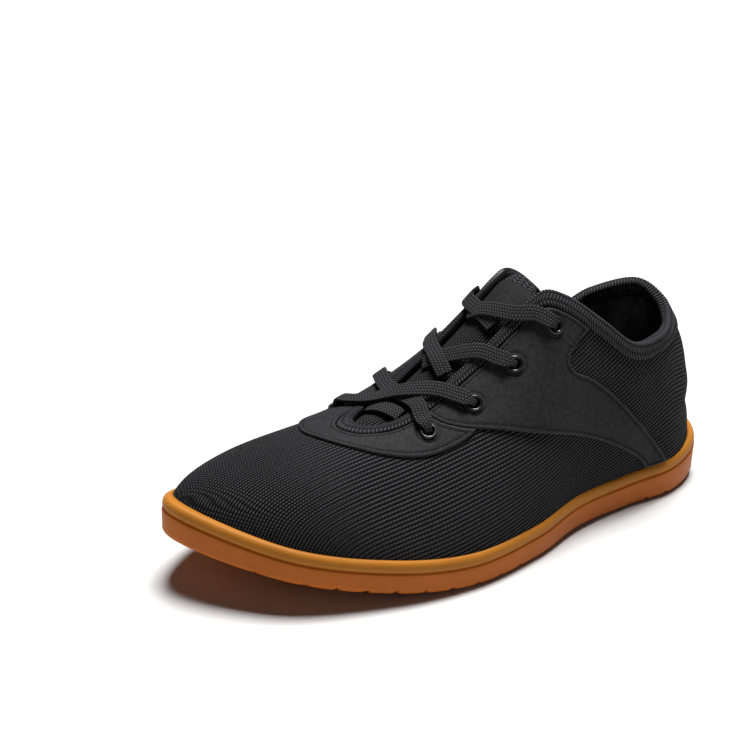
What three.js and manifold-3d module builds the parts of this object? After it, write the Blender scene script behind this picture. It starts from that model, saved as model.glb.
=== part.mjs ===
// A left barefoot shoe: lace-up, knit upper on a gum rubber cup sole.
// Millimetres. +Z is up, the toe points to -Y, +X is the outer (little toe) side of a left foot.
import * as THREE from "three";
import { mergeVertices } from "three/addons/utils/BufferGeometryUtils.js";
import Module from "manifold-3d";

const wasm = await Module();
wasm.setup();

// Driving dimensions.
const LENGTH = 284;
const BALL_WIDTH = 106;
const INSTEP_HEIGHT = 112;
const HEEL_HEIGHT = 87;
const SIDE_HEIGHT = 16.5;
const TOE_SPRING = 23;
const TOE_BREAK = 0.58;
const TOE_CURVE = 1.6;
const HEEL_SPRING = 3;
const HEEL_BREAK = 0.12;
const ARCH_RELIEF = 1;
const ARCH_START = 0.22;
const ARCH_END = 0.48;
const FOOTBED = 5;
const SIDE_WALL = 4.4;
const RIM_BAND = 5;
const GROOVE_DEPTH = 0.9;
const EDGE_ROUND = 4;
const UPPER_WALL = 1.8;
const COLLAR_WALL = 2.8;
const INSOLE_THICK = 3.5;
const OVERLAY_THICK = 1.1;
const BAND_WIDTH = 7;
const BAND_THICK = 1;
const GAP = 0.3;
const TONGUE_THICK = 3;
const TONGUE_GAP = 1;
const TONGUE_TUCK = 11;
const TONGUE_CROWN = 3.5;
const TONGUE_RISE = 7;
const TONGUE_TOP_WIDTH = 0.75;
const EYELET_RADIUS = 4;
const EYELET_HOLE = 2.4;
const EYELET_FLANGE = 1;
const EYELET_BARREL = 0.7;
const LACE_WIDTH = 7.5;
const LACE_THICK = 1.6;
const LACE_ARCH = 1.5;
const LACE_CLEAR = 0.7;
const LACE_JOIN = 0.2;
const LACE_START = 0.15;
const LUG_DEPTH = 1.2;
const LUG_PITCH = 13;
const LUG_GROOVE = 2.2;
const LUG_WAVE = 3;
const LUG_BENDS = 8;

// How finely the curved forms are cut into facets.
const AROUND = 64;
const WALL_ROWS = 10;
const CUP_ROWS = 2;
const ACROSS = 4;
const EYELET_SIDES = 10;
const TONGUE_ARCH = 4;
const LACE_STEPS = 12;

// The sole's outline, once round from the back of the heel by the outer side to the toe and back.
// along is a share of the length from the heel, across a share of the ball width.
// Rows pair up across the foot: the first after the heel with the last, and so on.
const OUTLINE = [
  { place: "heel back", along: 0.0, across: 0.0 },
  { place: "outer heel corner", along: 0.03, across: 0.212 },
  { place: "outer heel", along: 0.116, across: 0.328 },
  { place: "outer rear waist", along: 0.225, across: 0.333 },
  { place: "outer waist", along: 0.342, across: 0.373 },
  { place: "outer front waist", along: 0.458, across: 0.467 },
  { place: "outer ball", along: 0.599, across: 0.517 },
  { place: "little toe", along: 0.746, across: 0.448 },
  { place: "outer toe corner", along: 0.901, across: 0.245 },
  { place: "toe tip", along: 1.0, across: -0.16 },
  { place: "inner toe corner", along: 0.926, across: -0.395 },
  { place: "big toe joint", along: 0.77, across: -0.492 },
  { place: "inner ball", along: 0.599, across: -0.42 },
  { place: "inner front waist", along: 0.458, across: -0.335 },
  { place: "inner waist", along: 0.342, across: -0.283 },
  { place: "inner rear waist", along: 0.232, across: -0.302 },
  { place: "inner heel", along: 0.12, across: -0.33 },
  { place: "inner heel corner", along: 0.032, across: -0.226 },
];

// The sole's side height along the foot, as shares of SIDE_HEIGHT.
const SIDE_HEIGHTS = [
  { along: 0.0, height: 1.28 },
  { along: 0.1, height: 1.16 },
  { along: 0.3, height: 1.04 },
  { along: 0.5, height: 1.0 },
  { along: 0.7, height: 0.98 },
  { along: 0.88, height: 0.98 },
  { along: 1.0, height: 1.1 },
];

// The upper's wall lines, each from the feather edge at an outline row up to the opening's edge.
// at is the outline row; along and across place the top; instep and heel add up to its height.
// stand and swell place the lower handle of the curve, reach and drop the upper one.
// stand and drop are shares of the line's own rise, swell and reach of the ball width.
const WALL_COLUMNS = ["at", "along", "across", "instep", "heel", "stand", "swell", "reach", "drop"];
const WALL_LINES = [
  [0, 0.066, 0, 0, 1.005, 0.5, 0, 0.108, 0.28],
  [1, 0.093, 0.129, 0, 0.945, 0.55, -0.04, 0.11, 0.15],
  [2, 0.149, 0.241, 0, 0.936, 0.41, 0.03, 0.045, 0.37],
  [3, 0.22, 0.267, 0, 0.942, 0.4, 0.02, 0.08, 0.4],
  [4, 0.29, 0.225, 0.45, 0.54, 0.4, 0.02, 0.12, 0.35],
  [4.6, 0.345, 0.165, 0.82, 0.2, 0.38, 0.02, 0.17, 0.3],
  [5, 0.385, 0.118, 0.995, 0, 0.37, 0.02, 0.2, 0.27],
  [6, 0.49, 0.09, 0.79, 0, 0.4, 0.02, 0.22, 0.32],
  [7, 0.605, 0.076, 0.61, 0, 0.5, 0.02, 0.26, 0.28],
  [8, 0.668, 0.048, 0.56, 0, 0.75, 0.02, 0.36, 0.24],
  [9, 0.695, -0.045, 0.55, 0, 0.9, 0.02, 0.47, 0.3],
  [10, 0.674, -0.11, 0.555, 0, 0.8, 0.02, 0.36, 0.2],
  [11, 0.6, -0.14, 0.61, 0, 0.55, 0.02, 0.22, 0.15],
  [12, 0.49, -0.145, 0.79, 0, 0.45, 0.02, 0.2, 0.22],
  [13, 0.385, -0.155, 0.995, 0, 0.4, 0.02, 0.17, 0.3],
  [13.4, 0.345, -0.19, 0.82, 0.2, 0.4, 0.02, 0.15, 0.32],
  [14, 0.29, -0.235, 0.45, 0.54, 0.4, 0.02, 0.11, 0.36],
  [15, 0.22, -0.27, 0, 0.925, 0.4, 0.02, 0.08, 0.4],
  [16, 0.154, -0.231, 0, 1.01, 0.42, 0.02, 0.062, 0.36],
  [17, 0.085, -0.13, 0, 1.068, 0.445, 0.015, 0.08, 0.29],
].map((row) => Object.fromEntries(row.map((value, k) => [WALL_COLUMNS[k], value])));

// The quarter overlay's outline seen from the side: share of the length and of the instep height.
const QUARTER_OUTLINE = [
  { along: 0.615, up: 0.68 },
  { along: 0.597, up: 0.592 },
  { along: 0.573, up: 0.569 },
  { along: 0.5, up: 0.547 },
  { along: 0.412, up: 0.49 },
  { along: 0.314, up: 0.391 },
  { along: 0.243, up: 0.292 },
  { along: 0.2, up: 0.21 },
  { along: 0.165, up: 0.09 },
  { along: 0.12, up: 0.09 },
  { along: 0.145, up: 0.19 },
  { along: 0.191, up: 0.336 },
  { along: 0.233, up: 0.452 },
  { along: 0.274, up: 0.559 },
  { along: 0.323, up: 0.655 },
  { along: 0.356, up: 0.7 },
  { along: 0.365, up: 0.737 },
  { along: 0.358, up: 0.772 },
  { along: 0.3, up: 0.88 },
  { along: 0.27, up: 1.2 },
  { along: 0.55, up: 1.2 },
];

// The vamp overlay's outline seen from above: share of the length and of the ball width.
const VAMP_OUTLINE = [
  { along: 0.547, across: 0.272 },
  { along: 0.601, across: 0.272 },
  { along: 0.64, across: 0.25 },
  { along: 0.68, across: 0.198 },
  { along: 0.72, across: 0.124 },
  { along: 0.747, across: 0.004 },
  { along: 0.763, across: -0.13 },
  { along: 0.755, across: -0.21 },
  { along: 0.735, across: -0.265 },
  { along: 0.7, across: -0.305 },
  { along: 0.66, across: -0.322 },
  { along: 0.61, across: -0.322 },
  { along: 0.56, across: -0.3 },
  { along: 0.48, across: -0.1 },
  { along: 0.5, across: 0.2 },
];

// Where the eyelets sit: the wall line on each side, and how high on it.
const EYELET_PAIRS = [
  { pair: 1, outer: 6.75, outerHigh: 0.81, inner: 11.0, innerHigh: 0.7 },
  { pair: 2, outer: 6.1, outerHigh: 0.795, inner: 11.7, innerHigh: 0.71 },
  { pair: 3, outer: 5.45, outerHigh: 0.805, inner: 12.45, innerHigh: 0.76 },
  { pair: 4, outer: 4.8, outerHigh: 0.86, inner: 13.05, innerHigh: 0.86 },
];

// The lace crossings. Each bar runs from a pair of eyelets to the next one up, on the other side.
// topFrom is the side where the upper bar starts. A bar that starts under its facing comes out
// from below it at the throat; it always ends on top of the other facing. top and under give the
// wall lines where the upper and the lower bar meet the facings' edges.
const CROSSINGS = [
  { pair: 1, topFrom: "inner", startsUnder: false, top: [10.55, 6.66], under: [6.99, 10.97] },
  { pair: 2, topFrom: "outer", startsUnder: true, top: [6.49, 11.78], under: [11.45, 6.01] },
  { pair: 3, topFrom: "inner", startsUnder: true, top: [12.31, 5.4], under: [5.68, 12.49] },
];

// The straight bar below the first crossing: the wall lines of the facing edges it runs between.
const START_BAR = { outer: 7.3, inner: 10.4 };

// The tongue's rows from the front of the throat up: the wall lines it reaches on each side.
const TONGUE_ROWS = [
  { row: "front", outer: 9.0, inner: 9.0 },
  { row: "front bend", outer: 8.6, inner: 9.4 },
  { row: "front corner", outer: 8.0, inner: 10.0 },
  { row: "first eyelets", outer: 7.4, inner: 10.6 },
  { row: "second eyelets", outer: 6.8, inner: 11.2 },
  { row: "middle", outer: 6.3, inner: 11.7 },
  { row: "third eyelets", outer: 5.8, inner: 12.2 },
  { row: "fourth eyelets", outer: 5.4, inner: 12.6 },
  { row: "top", outer: 5.1, inner: 12.9 },
];

const ROWS_ROUND = OUTLINE.length;
const HALF_ROUND = ROWS_ROUND / 2;
const UP = new THREE.Vector3(0, 0, 1);

// A smooth curve through one column of a table. With a period, the table closes on itself.
function column(rows, place, name, period) {
  const steps = rows.map((row) => [row[place], row[name]]);
  if (period) {
    const last = steps.slice(-3).map(([x, value]) => [x - period, value]);
    const first = steps.slice(0, 3).map(([x, value]) => [x + period, value]);
    steps.unshift(...last);
    steps.push(...first);
  }
  const slope = (k) => {
    const before = steps[Math.max(k - 1, 0)];
    const after = steps[Math.min(k + 1, steps.length - 1)];
    return (after[1] - before[1]) / (after[0] - before[0]);
  };
  return (value) => {
    const x = period ? ((value % period) + period) % period : value;
    let k = 0;
    while (k < steps.length - 2 && x > steps[k + 1][0]) k += 1;
    const [x0, y0] = steps[k];
    const [x1, y1] = steps[k + 1];
    const span = x1 - x0;
    const t = THREE.MathUtils.clamp((x - x0) / span, 0, 1);
    const t2 = t * t;
    const t3 = t2 * t;
    const ends = (2 * t3 - 3 * t2 + 1) * y0 + (3 * t2 - 2 * t3) * y1;
    return ends + (t3 - 2 * t2 + t) * span * slope(k) + (t3 - t2) * span * slope(k + 1);
  };
}

const outlineRows = OUTLINE.map((row, at) => ({ ...row, at }));
const outlineAlong = column(outlineRows, "at", "along", ROWS_ROUND);
const outlineAcross = column(outlineRows, "at", "across", ROWS_ROUND);
const sideShare = column(SIDE_HEIGHTS, "along", "height");
const wall = Object.fromEntries(
  WALL_COLUMNS.slice(1).map((name) => [
    name,
    column(WALL_LINES, "at", name, ROWS_ROUND),
  ]),
);

// The share of the length at y, and the y of a share of the length.
const alongOf = (y) => 0.5 - y / LENGTH;
const yOf = (along) => LENGTH * (0.5 - along);

// Height of the sole's underside: flat under heel and forefoot, lifted at toe, heel and arch.
function underside(y) {
  const along = alongOf(y);
  const toe = THREE.MathUtils.clamp((along - TOE_BREAK) / (1 - TOE_BREAK), 0, 2);
  const heel = THREE.MathUtils.clamp((HEEL_BREAK - along) / HEEL_BREAK, 0, 2);
  const arch = THREE.MathUtils.clamp((along - ARCH_START) / (ARCH_END - ARCH_START), 0, 1);
  const relief = (ARCH_RELIEF * (1 - Math.cos(2 * Math.PI * arch))) / 2;
  return TOE_SPRING * toe ** TOE_CURVE + HEEL_SPRING * heel ** 2 + relief;
}

const footbed = (y) => underside(y) + FOOTBED;
const sideHeight = (y) => SIDE_HEIGHT * sideShare(THREE.MathUtils.clamp(alongOf(y), 0, 1));

// A point of the sole's outline, moved in by a distance, with the outward direction in plan.
function outlinePoint(at, inset = 0) {
  const step = 0.02;
  const place = (a) => new THREE.Vector3(BALL_WIDTH * outlineAcross(a), yOf(outlineAlong(a)), 0);
  const ahead = place(at + step).sub(place(at - step));
  const out = new THREE.Vector3(-ahead.y, ahead.x, 0).normalize();
  return { point: place(at).addScaledVector(out, -inset), out };
}

// The four handles of the upper's wall line that starts at an outline row.
function wallHandles(at) {
  const { point: foot, out } = outlinePoint(at, SIDE_WALL);
  foot.z = footbed(foot.y) + GAP;
  const height = wall.instep(at) * INSTEP_HEIGHT + wall.heel(at) * HEEL_HEIGHT;
  const edge = new THREE.Vector3(BALL_WIDTH * wall.across(at), yOf(wall.along(at)), height);
  const rise = edge.z - foot.z;
  const lower = foot.clone().addScaledVector(out, wall.swell(at) * BALL_WIDTH);
  lower.z += wall.stand(at) * rise;
  const toward = new THREE.Vector3(foot.x - edge.x, foot.y - edge.y, 0).normalize();
  const upper = edge.clone().addScaledVector(toward, wall.reach(at) * BALL_WIDTH);
  upper.z -= wall.drop(at) * rise;
  return [foot, lower, upper, edge];
}

// The upper's outer face: at runs round the foot, high from 0 at the sole to 1 at the opening.
function wallPoint(at, high) {
  return new THREE.CubicBezierCurve3(...wallHandles(at)).getPoint(high);
}

// A point on the outer face moved out of it by an offset, or into the shoe by a negative one.
function skin(at, high, offset = 0) {
  const step = 0.01;
  const low = Math.max(high - step, 0);
  const top = Math.min(high + step, 1);
  const rising = wallPoint(at, top).sub(wallPoint(at, low));
  const round = wallPoint(at + step, high).sub(wallPoint(at - step, high));
  const out = rising.cross(round).normalize();
  return { point: wallPoint(at, high).addScaledVector(out, offset), out };
}

// The value between two ends where a rising measure reaches its goal.
function solve(measure, goal, low = 0, high = 1) {
  for (let turn = 0; turn < 24; turn += 1) {
    const middle = (low + high) / 2;
    if (measure(middle) < goal) low = middle;
    else high = middle;
  }
  return (low + high) / 2;
}

// How high on its wall line the upper leaves the sole's rim, plus a lift.
function rimShare(at, lift = 0) {
  const { point } = outlinePoint(at);
  const top = underside(point.y) + sideHeight(point.y) + lift;
  return solve((high) => wallPoint(at, high).z, top);
}

// How high on its wall line a point lies that is a distance from the opening's edge.
function edgeShare(at, distance) {
  const edge = wallPoint(at, 1);
  return solve((high) => -wallPoint(at, high).distanceTo(edge), -distance);
}

// The upper's wall thickness: knit below, with a padded lining round the collar.
function wallThickness(at, high) {
  const collar = 1 - THREE.MathUtils.smoothstep(Math.min(at, ROWS_ROUND - at), 4, 5);
  return UPPER_WALL + (COLLAR_WALL - UPPER_WALL) * collar * THREE.MathUtils.smoothstep(high, 0.55, 0.85);
}

// The heights of the upper's rows of facets on one wall line.
function wallRows(at) {
  const rim = rimShare(at);
  const band = edgeShare(at, BAND_WIDTH);
  const rows = [];
  for (let row = 0; row <= CUP_ROWS; row += 1) rows.push((rim * row) / CUP_ROWS);
  const open = WALL_ROWS - 1 - CUP_ROWS;
  for (let row = 1; row <= open; row += 1) rows.push(rim + ((band - rim) * row) / open);
  rows.push(1);
  return rows;
}

const ringPlaces = Array.from({ length: AROUND }, (_, k) => (ROWS_ROUND * k) / AROUND);

// Faces gathered for one closed body, turned outward at the end.
class Body {
  constructor() {
    this.corners = [];
  }

  triangle(a, b, c) {
    this.corners.push(a, b, c);
  }

  quad(a, b, c, d) {
    this.triangle(a, b, c);
    this.triangle(a, c, d);
  }

  geometry() {
    const loose = new THREE.BufferGeometry();
    const numbers = this.corners.flatMap((corner) => [corner.x, corner.y, corner.z]);
    loose.setAttribute("position", new THREE.Float32BufferAttribute(numbers, 3));
    const merged = mergeVertices(loose, 1e-3);
    const index = [];
    const old = merged.index.array;
    for (let k = 0; k < old.length; k += 3) {
      const [a, b, c] = [old[k], old[k + 1], old[k + 2]];
      if (a !== b && b !== c && c !== a) index.push(a, b, c);
    }
    merged.setIndex(index);
    if (volume(merged) < 0) merged.setIndex(index.reverse());
    return merged;
  }
}

function volume(geometry) {
  const place = geometry.attributes.position;
  const corner = (k) => new THREE.Vector3().fromBufferAttribute(place, geometry.index.array[k]);
  let sum = 0;
  for (let k = 0; k < geometry.index.count; k += 3) {
    sum += corner(k).dot(corner(k + 1).cross(corner(k + 2)));
  }
  return sum / 6;
}

// A sheet with thickness from two equal grids of points. Closed sheets join their last row to their
// first; folded ones start on a row that lies on itself.
function thickSheet(outer, inner, { closed = false, folded = false } = {}) {
  const body = new Body();
  const count = outer.length;
  const last = outer[0].length - 1;
  for (let i = 0; i < (closed ? count : count - 1); i += 1) {
    const n = (i + 1) % count;
    for (let j = 0; j < last; j += 1) {
      body.quad(outer[i][j], outer[n][j], outer[n][j + 1], outer[i][j + 1]);
      body.quad(inner[i][j], inner[i][j + 1], inner[n][j + 1], inner[n][j]);
    }
    body.quad(inner[i][0], inner[n][0], outer[n][0], outer[i][0]);
    body.quad(outer[i][last], outer[n][last], inner[n][last], inner[i][last]);
  }
  if (!closed) {
    const end = count - 1;
    for (let j = 0; j < last; j += 1) {
      if (!folded) body.quad(inner[0][j], outer[0][j], outer[0][j + 1], inner[0][j + 1]);
      body.quad(outer[end][j], inner[end][j], inner[end][j + 1], outer[end][j + 1]);
    }
  }
  return body.geometry();
}

// Adds a lid on a ring of points whose rows pair up across the foot; heightAt gives its surface.
function addLid(body, ring, heightAt, facingUp) {
  const half = ring.length / 2;
  const rowAt = (i) => {
    const right = ring[i];
    const left = ring[(ring.length - i) % ring.length];
    return Array.from({ length: ACROSS + 1 }, (_, j) => {
      if (j === 0) return right;
      if (j === ACROSS) return left;
      const point = right.clone().lerp(left, j / ACROSS);
      point.z = heightAt(point.y);
      return point;
    });
  };
  for (let i = 0; i < half; i += 1) {
    const near = rowAt(i);
    const next = rowAt(i + 1);
    for (let j = 0; j < ACROSS; j += 1) {
      const corners = [near[j], next[j], next[j + 1], near[j + 1]];
      if (!facingUp) corners.reverse();
      body.quad(...corners);
    }
  }
}

// A body from rings stacked outside in, closed by a lid on the first ring and one on the last.
function ringStack(rings, firstLid, lastLid) {
  const body = new Body();
  const count = rings[0].length;
  for (let k = 0; k < rings.length - 1; k += 1) {
    for (let i = 0; i < count; i += 1) {
      const n = (i + 1) % count;
      body.quad(rings[k][n], rings[k + 1][n], rings[k + 1][i], rings[k][i]);
    }
  }
  addLid(body, rings[0], firstLid, false);
  addLid(body, rings[rings.length - 1], lastLid, true);
  return body.geometry();
}

// The steps of the sole's side at one place: how far in from the outline and how far up.
function sideSteps(top) {
  return [
    { step: "under edge", inset: EDGE_ROUND * 0.3, up: EDGE_ROUND * 0.3 },
    { step: "lower wall foot", inset: 0.2, up: EDGE_ROUND },
    { step: "lower wall head", inset: 0, up: top - RIM_BAND - GROOVE_DEPTH },
    { step: "groove", inset: GROOVE_DEPTH, up: top - RIM_BAND },
    { step: "rim foot", inset: 0.3, up: top - RIM_BAND + GROOVE_DEPTH },
    { step: "rim head", inset: 0.6, up: top - 1.4 },
    { step: "rim top", inset: 1.6, up: top },
  ];
}

function soleSolid() {
  const bottom = ringPlaces.map((at) => {
    const { point } = outlinePoint(at, EDGE_ROUND);
    point.z = underside(point.y);
    return point;
  });
  const sides = sideSteps(0).map((_, k) =>
    ringPlaces.map((at) => {
      const { point: edge, out } = outlinePoint(at);
      const { inset, up } = sideSteps(sideHeight(edge.y))[k];
      const point = edge.clone().addScaledVector(out, -inset);
      point.z = underside(edge.y) + up;
      return point;
    }),
  );
  const cup = [];
  for (let row = CUP_ROWS; row >= 0; row -= 1) {
    cup.push(
      ringPlaces.map((at) => {
        const { point } = skin(at, wallRows(at)[row], GAP);
        if (row === 0) point.z = footbed(point.y);
        return point;
      }),
    );
  }
  return ringStack([bottom, ...sides, ...cup], underside, footbed);
}

// Turns a closed geometry into a solid for joining and cutting, and back.
function toSolid(geometry) {
  const bare = new THREE.BufferGeometry();
  bare.setAttribute("position", geometry.attributes.position);
  if (geometry.index) bare.setIndex(geometry.index);
  const merged = mergeVertices(bare, 1e-3);
  return new wasm.Manifold(
    new wasm.Mesh({
      numProp: 3,
      vertProperties: new Float32Array(merged.attributes.position.array),
      triVerts: new Uint32Array(merged.index.array),
    }),
  );
}

function fromSolid(solid) {
  const mesh = solid.getMesh();
  const geometry = new THREE.BufferGeometry();
  geometry.setAttribute("position", new THREE.BufferAttribute(mesh.vertProperties, 3));
  geometry.setIndex(new THREE.BufferAttribute(mesh.triVerts, 1));
  return geometry;
}

// One zigzag groove across the underside, cut up into the sole at a place along it.
function treadGroove(along) {
  const reach = BALL_WIDTH * 0.6;
  const outer = [];
  const inner = [];
  for (let k = 0; k <= LUG_BENDS; k += 1) {
    const x = -reach + (2 * reach * k) / LUG_BENDS;
    const y = yOf(along) + (k % 2 ? LUG_WAVE : -LUG_WAVE) / 2;
    const corner = (side, z) => new THREE.Vector3(x, y + (side * LUG_GROOVE) / 2, z);
    const top = underside(y) + LUG_DEPTH;
    const low = underside(y) - FOOTBED;
    outer.push([corner(-1, top), corner(1, top)]);
    inner.push([corner(-1, low), corner(1, low)]);
  }
  return toSolid(thickSheet(outer, inner));
}

function outsole() {
  let solid = toSolid(soleSolid());
  const count = Math.floor(LENGTH / LUG_PITCH);
  for (let k = 1; k < count; k += 1) {
    const along = (k * LUG_PITCH) / LENGTH;
    const inArch = along > ARCH_START - 0.02 && along < ARCH_END - 0.02;
    if (!inArch) solid = solid.subtract(treadGroove(along));
  }
  return fromSolid(solid);
}

function insole() {
  const ring = (lift) =>
    ringPlaces.map((at) => {
      const { point } = skin(at, 0, -UPPER_WALL - 2 * GAP);
      point.z = footbed(point.y) + GAP + lift;
      return point;
    });
  const lower = (y) => footbed(y) + GAP;
  return ringStack([ring(0), ring(INSOLE_THICK)], lower, (y) => lower(y) + INSOLE_THICK);
}

// A sheet over the upper's outer face between two offsets, round the whole foot.
function shellSheet(rowsAt, low, high) {
  const grid = (offset) =>
    ringPlaces.map((at) =>
      rowsAt(at).map((share) => {
        const thickness = offset === "inner" ? -wallThickness(at, share) : offset;
        return skin(at, share, thickness).point;
      }),
    );
  return thickSheet(grid(high), grid(low), { closed: true });
}

function turnedTo(geometry, point, out) {
  const turn = new THREE.Quaternion().setFromUnitVectors(UP, out);
  return geometry.applyQuaternion(turn).translate(point.x, point.y, point.z);
}

const eyelets = EYELET_PAIRS.flatMap(({ pair, outer, outerHigh, inner, innerHigh }) =>
  [
    { side: "outer", at: outer, high: outerHigh },
    { side: "inner", at: inner, high: innerHigh },
  ].map(({ side, at, high }) => {
    return { name: `eyelet_${side}_${pair}`, side, pair, at, high, ...skin(at, high) };
  }),
);
const eyeletAt = (side, pair) => eyelets.find((one) => one.side === side && one.pair === pair);

function eyeletHoles() {
  const holes = eyelets.map(({ point, out }) => {
    const bore = new THREE.CylinderGeometry(
      EYELET_HOLE + EYELET_BARREL + GAP,
      EYELET_HOLE + EYELET_BARREL + GAP,
      4 * UPPER_WALL + 4 * OVERLAY_THICK,
      EYELET_SIDES,
    ).rotateX(Math.PI / 2);
    bore.deleteAttribute("normal");
    bore.deleteAttribute("uv");
    return toSolid(turnedTo(bore, point, out));
  });
  return wasm.Manifold.union(holes);
}

const holes = eyeletHoles();

function upper() {
  const whole = toSolid(shellSheet(wallRows, "inner", 0));
  return fromSolid(whole.subtract(holes));
}

function openingBand() {
  const rows = (at) => [edgeShare(at, BAND_WIDTH - GAP), 1];
  return shellSheet(rows, GAP, GAP + BAND_THICK);
}

// The larger form that every overlay is cut from: a layer over the upper from rim to band.
function overlayLayer() {
  const rows = (at) => {
    const inside = wallRows(at).slice(CUP_ROWS + 1, -2);
    return [rimShare(at, 2 * GAP), ...inside, edgeShare(at, BAND_WIDTH + GAP)];
  };
  return toSolid(shellSheet(rows, GAP, GAP + OVERLAY_THICK)).subtract(holes);
}

// A smooth closed outline through a table's points, grown outward by a distance.
function smoothOutline(points, grow = 0) {
  const curve = new THREE.CatmullRomCurve3(points, true, "centripetal");
  const count = points.length * 3;
  const places = curve.getPoints(count).slice(0, count);
  const area = THREE.ShapeUtils.area(places);
  return places.map((point, k) => {
    const ahead = places[(k + 1) % count].clone().sub(places[(k + count - 1) % count]);
    const out = new THREE.Vector3(ahead.y, -ahead.x, 0).normalize();
    return point.clone().addScaledVector(out, area > 0 ? grow : -grow);
  });
}

// A prism over an outline drawn in plan, as tall as asked.
function prism(outline, depth) {
  const shape = new THREE.Shape(outline.map((point) => new THREE.Vector2(point.x, point.y)));
  const block = new THREE.ExtrudeGeometry(shape, { depth, bevelEnabled: false });
  block.deleteAttribute("normal");
  block.deleteAttribute("uv");
  return block;
}

// The cutter of a quarter overlay: its side outline swept out sideways from the middle of the shoe.
function quarterCutter(side, grow = 0) {
  const points = QUARTER_OUTLINE.map(
    (row) => new THREE.Vector3(yOf(row.along), row.up * INSTEP_HEIGHT, 0),
  );
  const block = prism(smoothOutline(points, grow), BALL_WIDTH);
  const turn = new THREE.Matrix4().set(0, 0, side, 0, 1, 0, 0, 0, 0, 1, 0, 0, 0, 0, 0, 1);
  block.applyMatrix4(turn);
  return toSolid(outward(block));
}

// The same geometry with its faces pointing out.
function outward(geometry) {
  const merged = mergeVertices(geometry, 1e-3);
  if (volume(merged) < 0) merged.setIndex([...merged.index.array].reverse());
  return merged;
}

function vampCutter() {
  const points = VAMP_OUTLINE.map(
    (row) => new THREE.Vector3(BALL_WIDTH * row.across, yOf(row.along), 0),
  );
  return toSolid(outward(prism(smoothOutline(points), 2 * INSTEP_HEIGHT)));
}

const layer = overlayLayer();

function quarterOverlay(side) {
  return fromSolid(layer.intersect(quarterCutter(side)));
}

function vampOverlay() {
  const sides = quarterCutter(1, GAP).add(quarterCutter(-1, GAP));
  return fromSolid(layer.intersect(vampCutter()).subtract(sides));
}

// One eyelet: a flange on the overlay's face and a barrel down through the upper.
function eyelet({ point, out }) {
  const seat = 2 * GAP + OVERLAY_THICK;
  const top = seat + EYELET_FLANGE;
  const barrel = EYELET_HOLE + EYELET_BARREL;
  const profile = [
    [EYELET_HOLE, -UPPER_WALL],
    [barrel, -UPPER_WALL],
    [barrel, seat],
    [EYELET_RADIUS, seat],
    [EYELET_RADIUS - EYELET_FLANGE / 2, top],
    [EYELET_HOLE, top - EYELET_FLANGE / 4],
    [EYELET_HOLE, -UPPER_WALL],
  ].map(([radius, height]) => new THREE.Vector2(radius, height));
  const ring = new THREE.LatheGeometry(profile, EYELET_SIDES).rotateX(Math.PI / 2);
  ring.deleteAttribute("normal");
  ring.deleteAttribute("uv");
  return outward(turnedTo(ring, point, out));
}

// One row of the tongue: tucked under both facings and arched over the gap between them.
function tongueRow(outer, inner, lift) {
  const depth = -UPPER_WALL - TONGUE_GAP - lift;
  const seat = (at, distance) => skin(at, edgeShare(at, distance), depth);
  const tucks = [TONGUE_TUCK, TONGUE_TUCK / 2, 0];
  const right = tucks.map((distance) => seat(outer, distance).point);
  const left = tucks.map((distance) => seat(inner, distance).point).reverse();
  const from = seat(outer, 0);
  const to = seat(inner, 0);
  const out = from.out.clone().add(to.out).normalize();
  const gap = from.point.distanceTo(to.point);
  const arch = [];
  for (let k = 1; k < TONGUE_ARCH; k += 1) {
    const share = k / TONGUE_ARCH;
    const height = TONGUE_CROWN * 4 * share * (1 - share) * Math.min(1, gap / TONGUE_TUCK);
    arch.push(from.point.clone().lerp(to.point, share).addScaledVector(out, height));
  }
  return [...right, ...arch, ...left];
}

function tongueGrid(lift) {
  const rows = TONGUE_ROWS.map(({ outer, inner }) => tongueRow(outer, inner, lift));
  const top = rows[rows.length - 1];
  const below = rows[rows.length - 2];
  const center = (row) => row[(row.length - 1) / 2];
  const ahead = center(top).clone().sub(center(below)).normalize();
  const round = (j) => 1 - ((2 * j) / (top.length - 1) - 1) ** 4;
  for (const share of [0.6, 1]) {
    const narrow = 1 - (1 - TONGUE_TOP_WIDTH) * share;
    rows.push(
      top.map((point, j) => {
        const moved = center(top).clone().lerp(point, narrow);
        return moved.addScaledVector(ahead, TONGUE_RISE * share * round(j));
      }),
    );
  }
  return rows;
}

function tongue() {
  return thickSheet(tongueGrid(0), tongueGrid(TONGUE_THICK), { folded: true });
}

// A place of a lace's middle that lies clear of a surface point, at a height over it.
const laceSeat = ({ point, out }, height) => ({
  point: point.clone().addScaledVector(out, height + LACE_CLEAR + LACE_THICK / 2),
  out,
});

// The tongue's top over the line between the facings' edges, at a share of the way across.
const tongueTop = (share) => TONGUE_CROWN * 4 * share * (1 - share) - UPPER_WALL - TONGUE_GAP;

// Lace places over the throat between two points of its edges: share of the way, and height.
function overThroat(near, far) {
  const out = near.out.clone().add(far.out).normalize();
  return (share, height) => laceSeat({ point: near.point.clone().lerp(far.point, share), out }, height);
}

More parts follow.
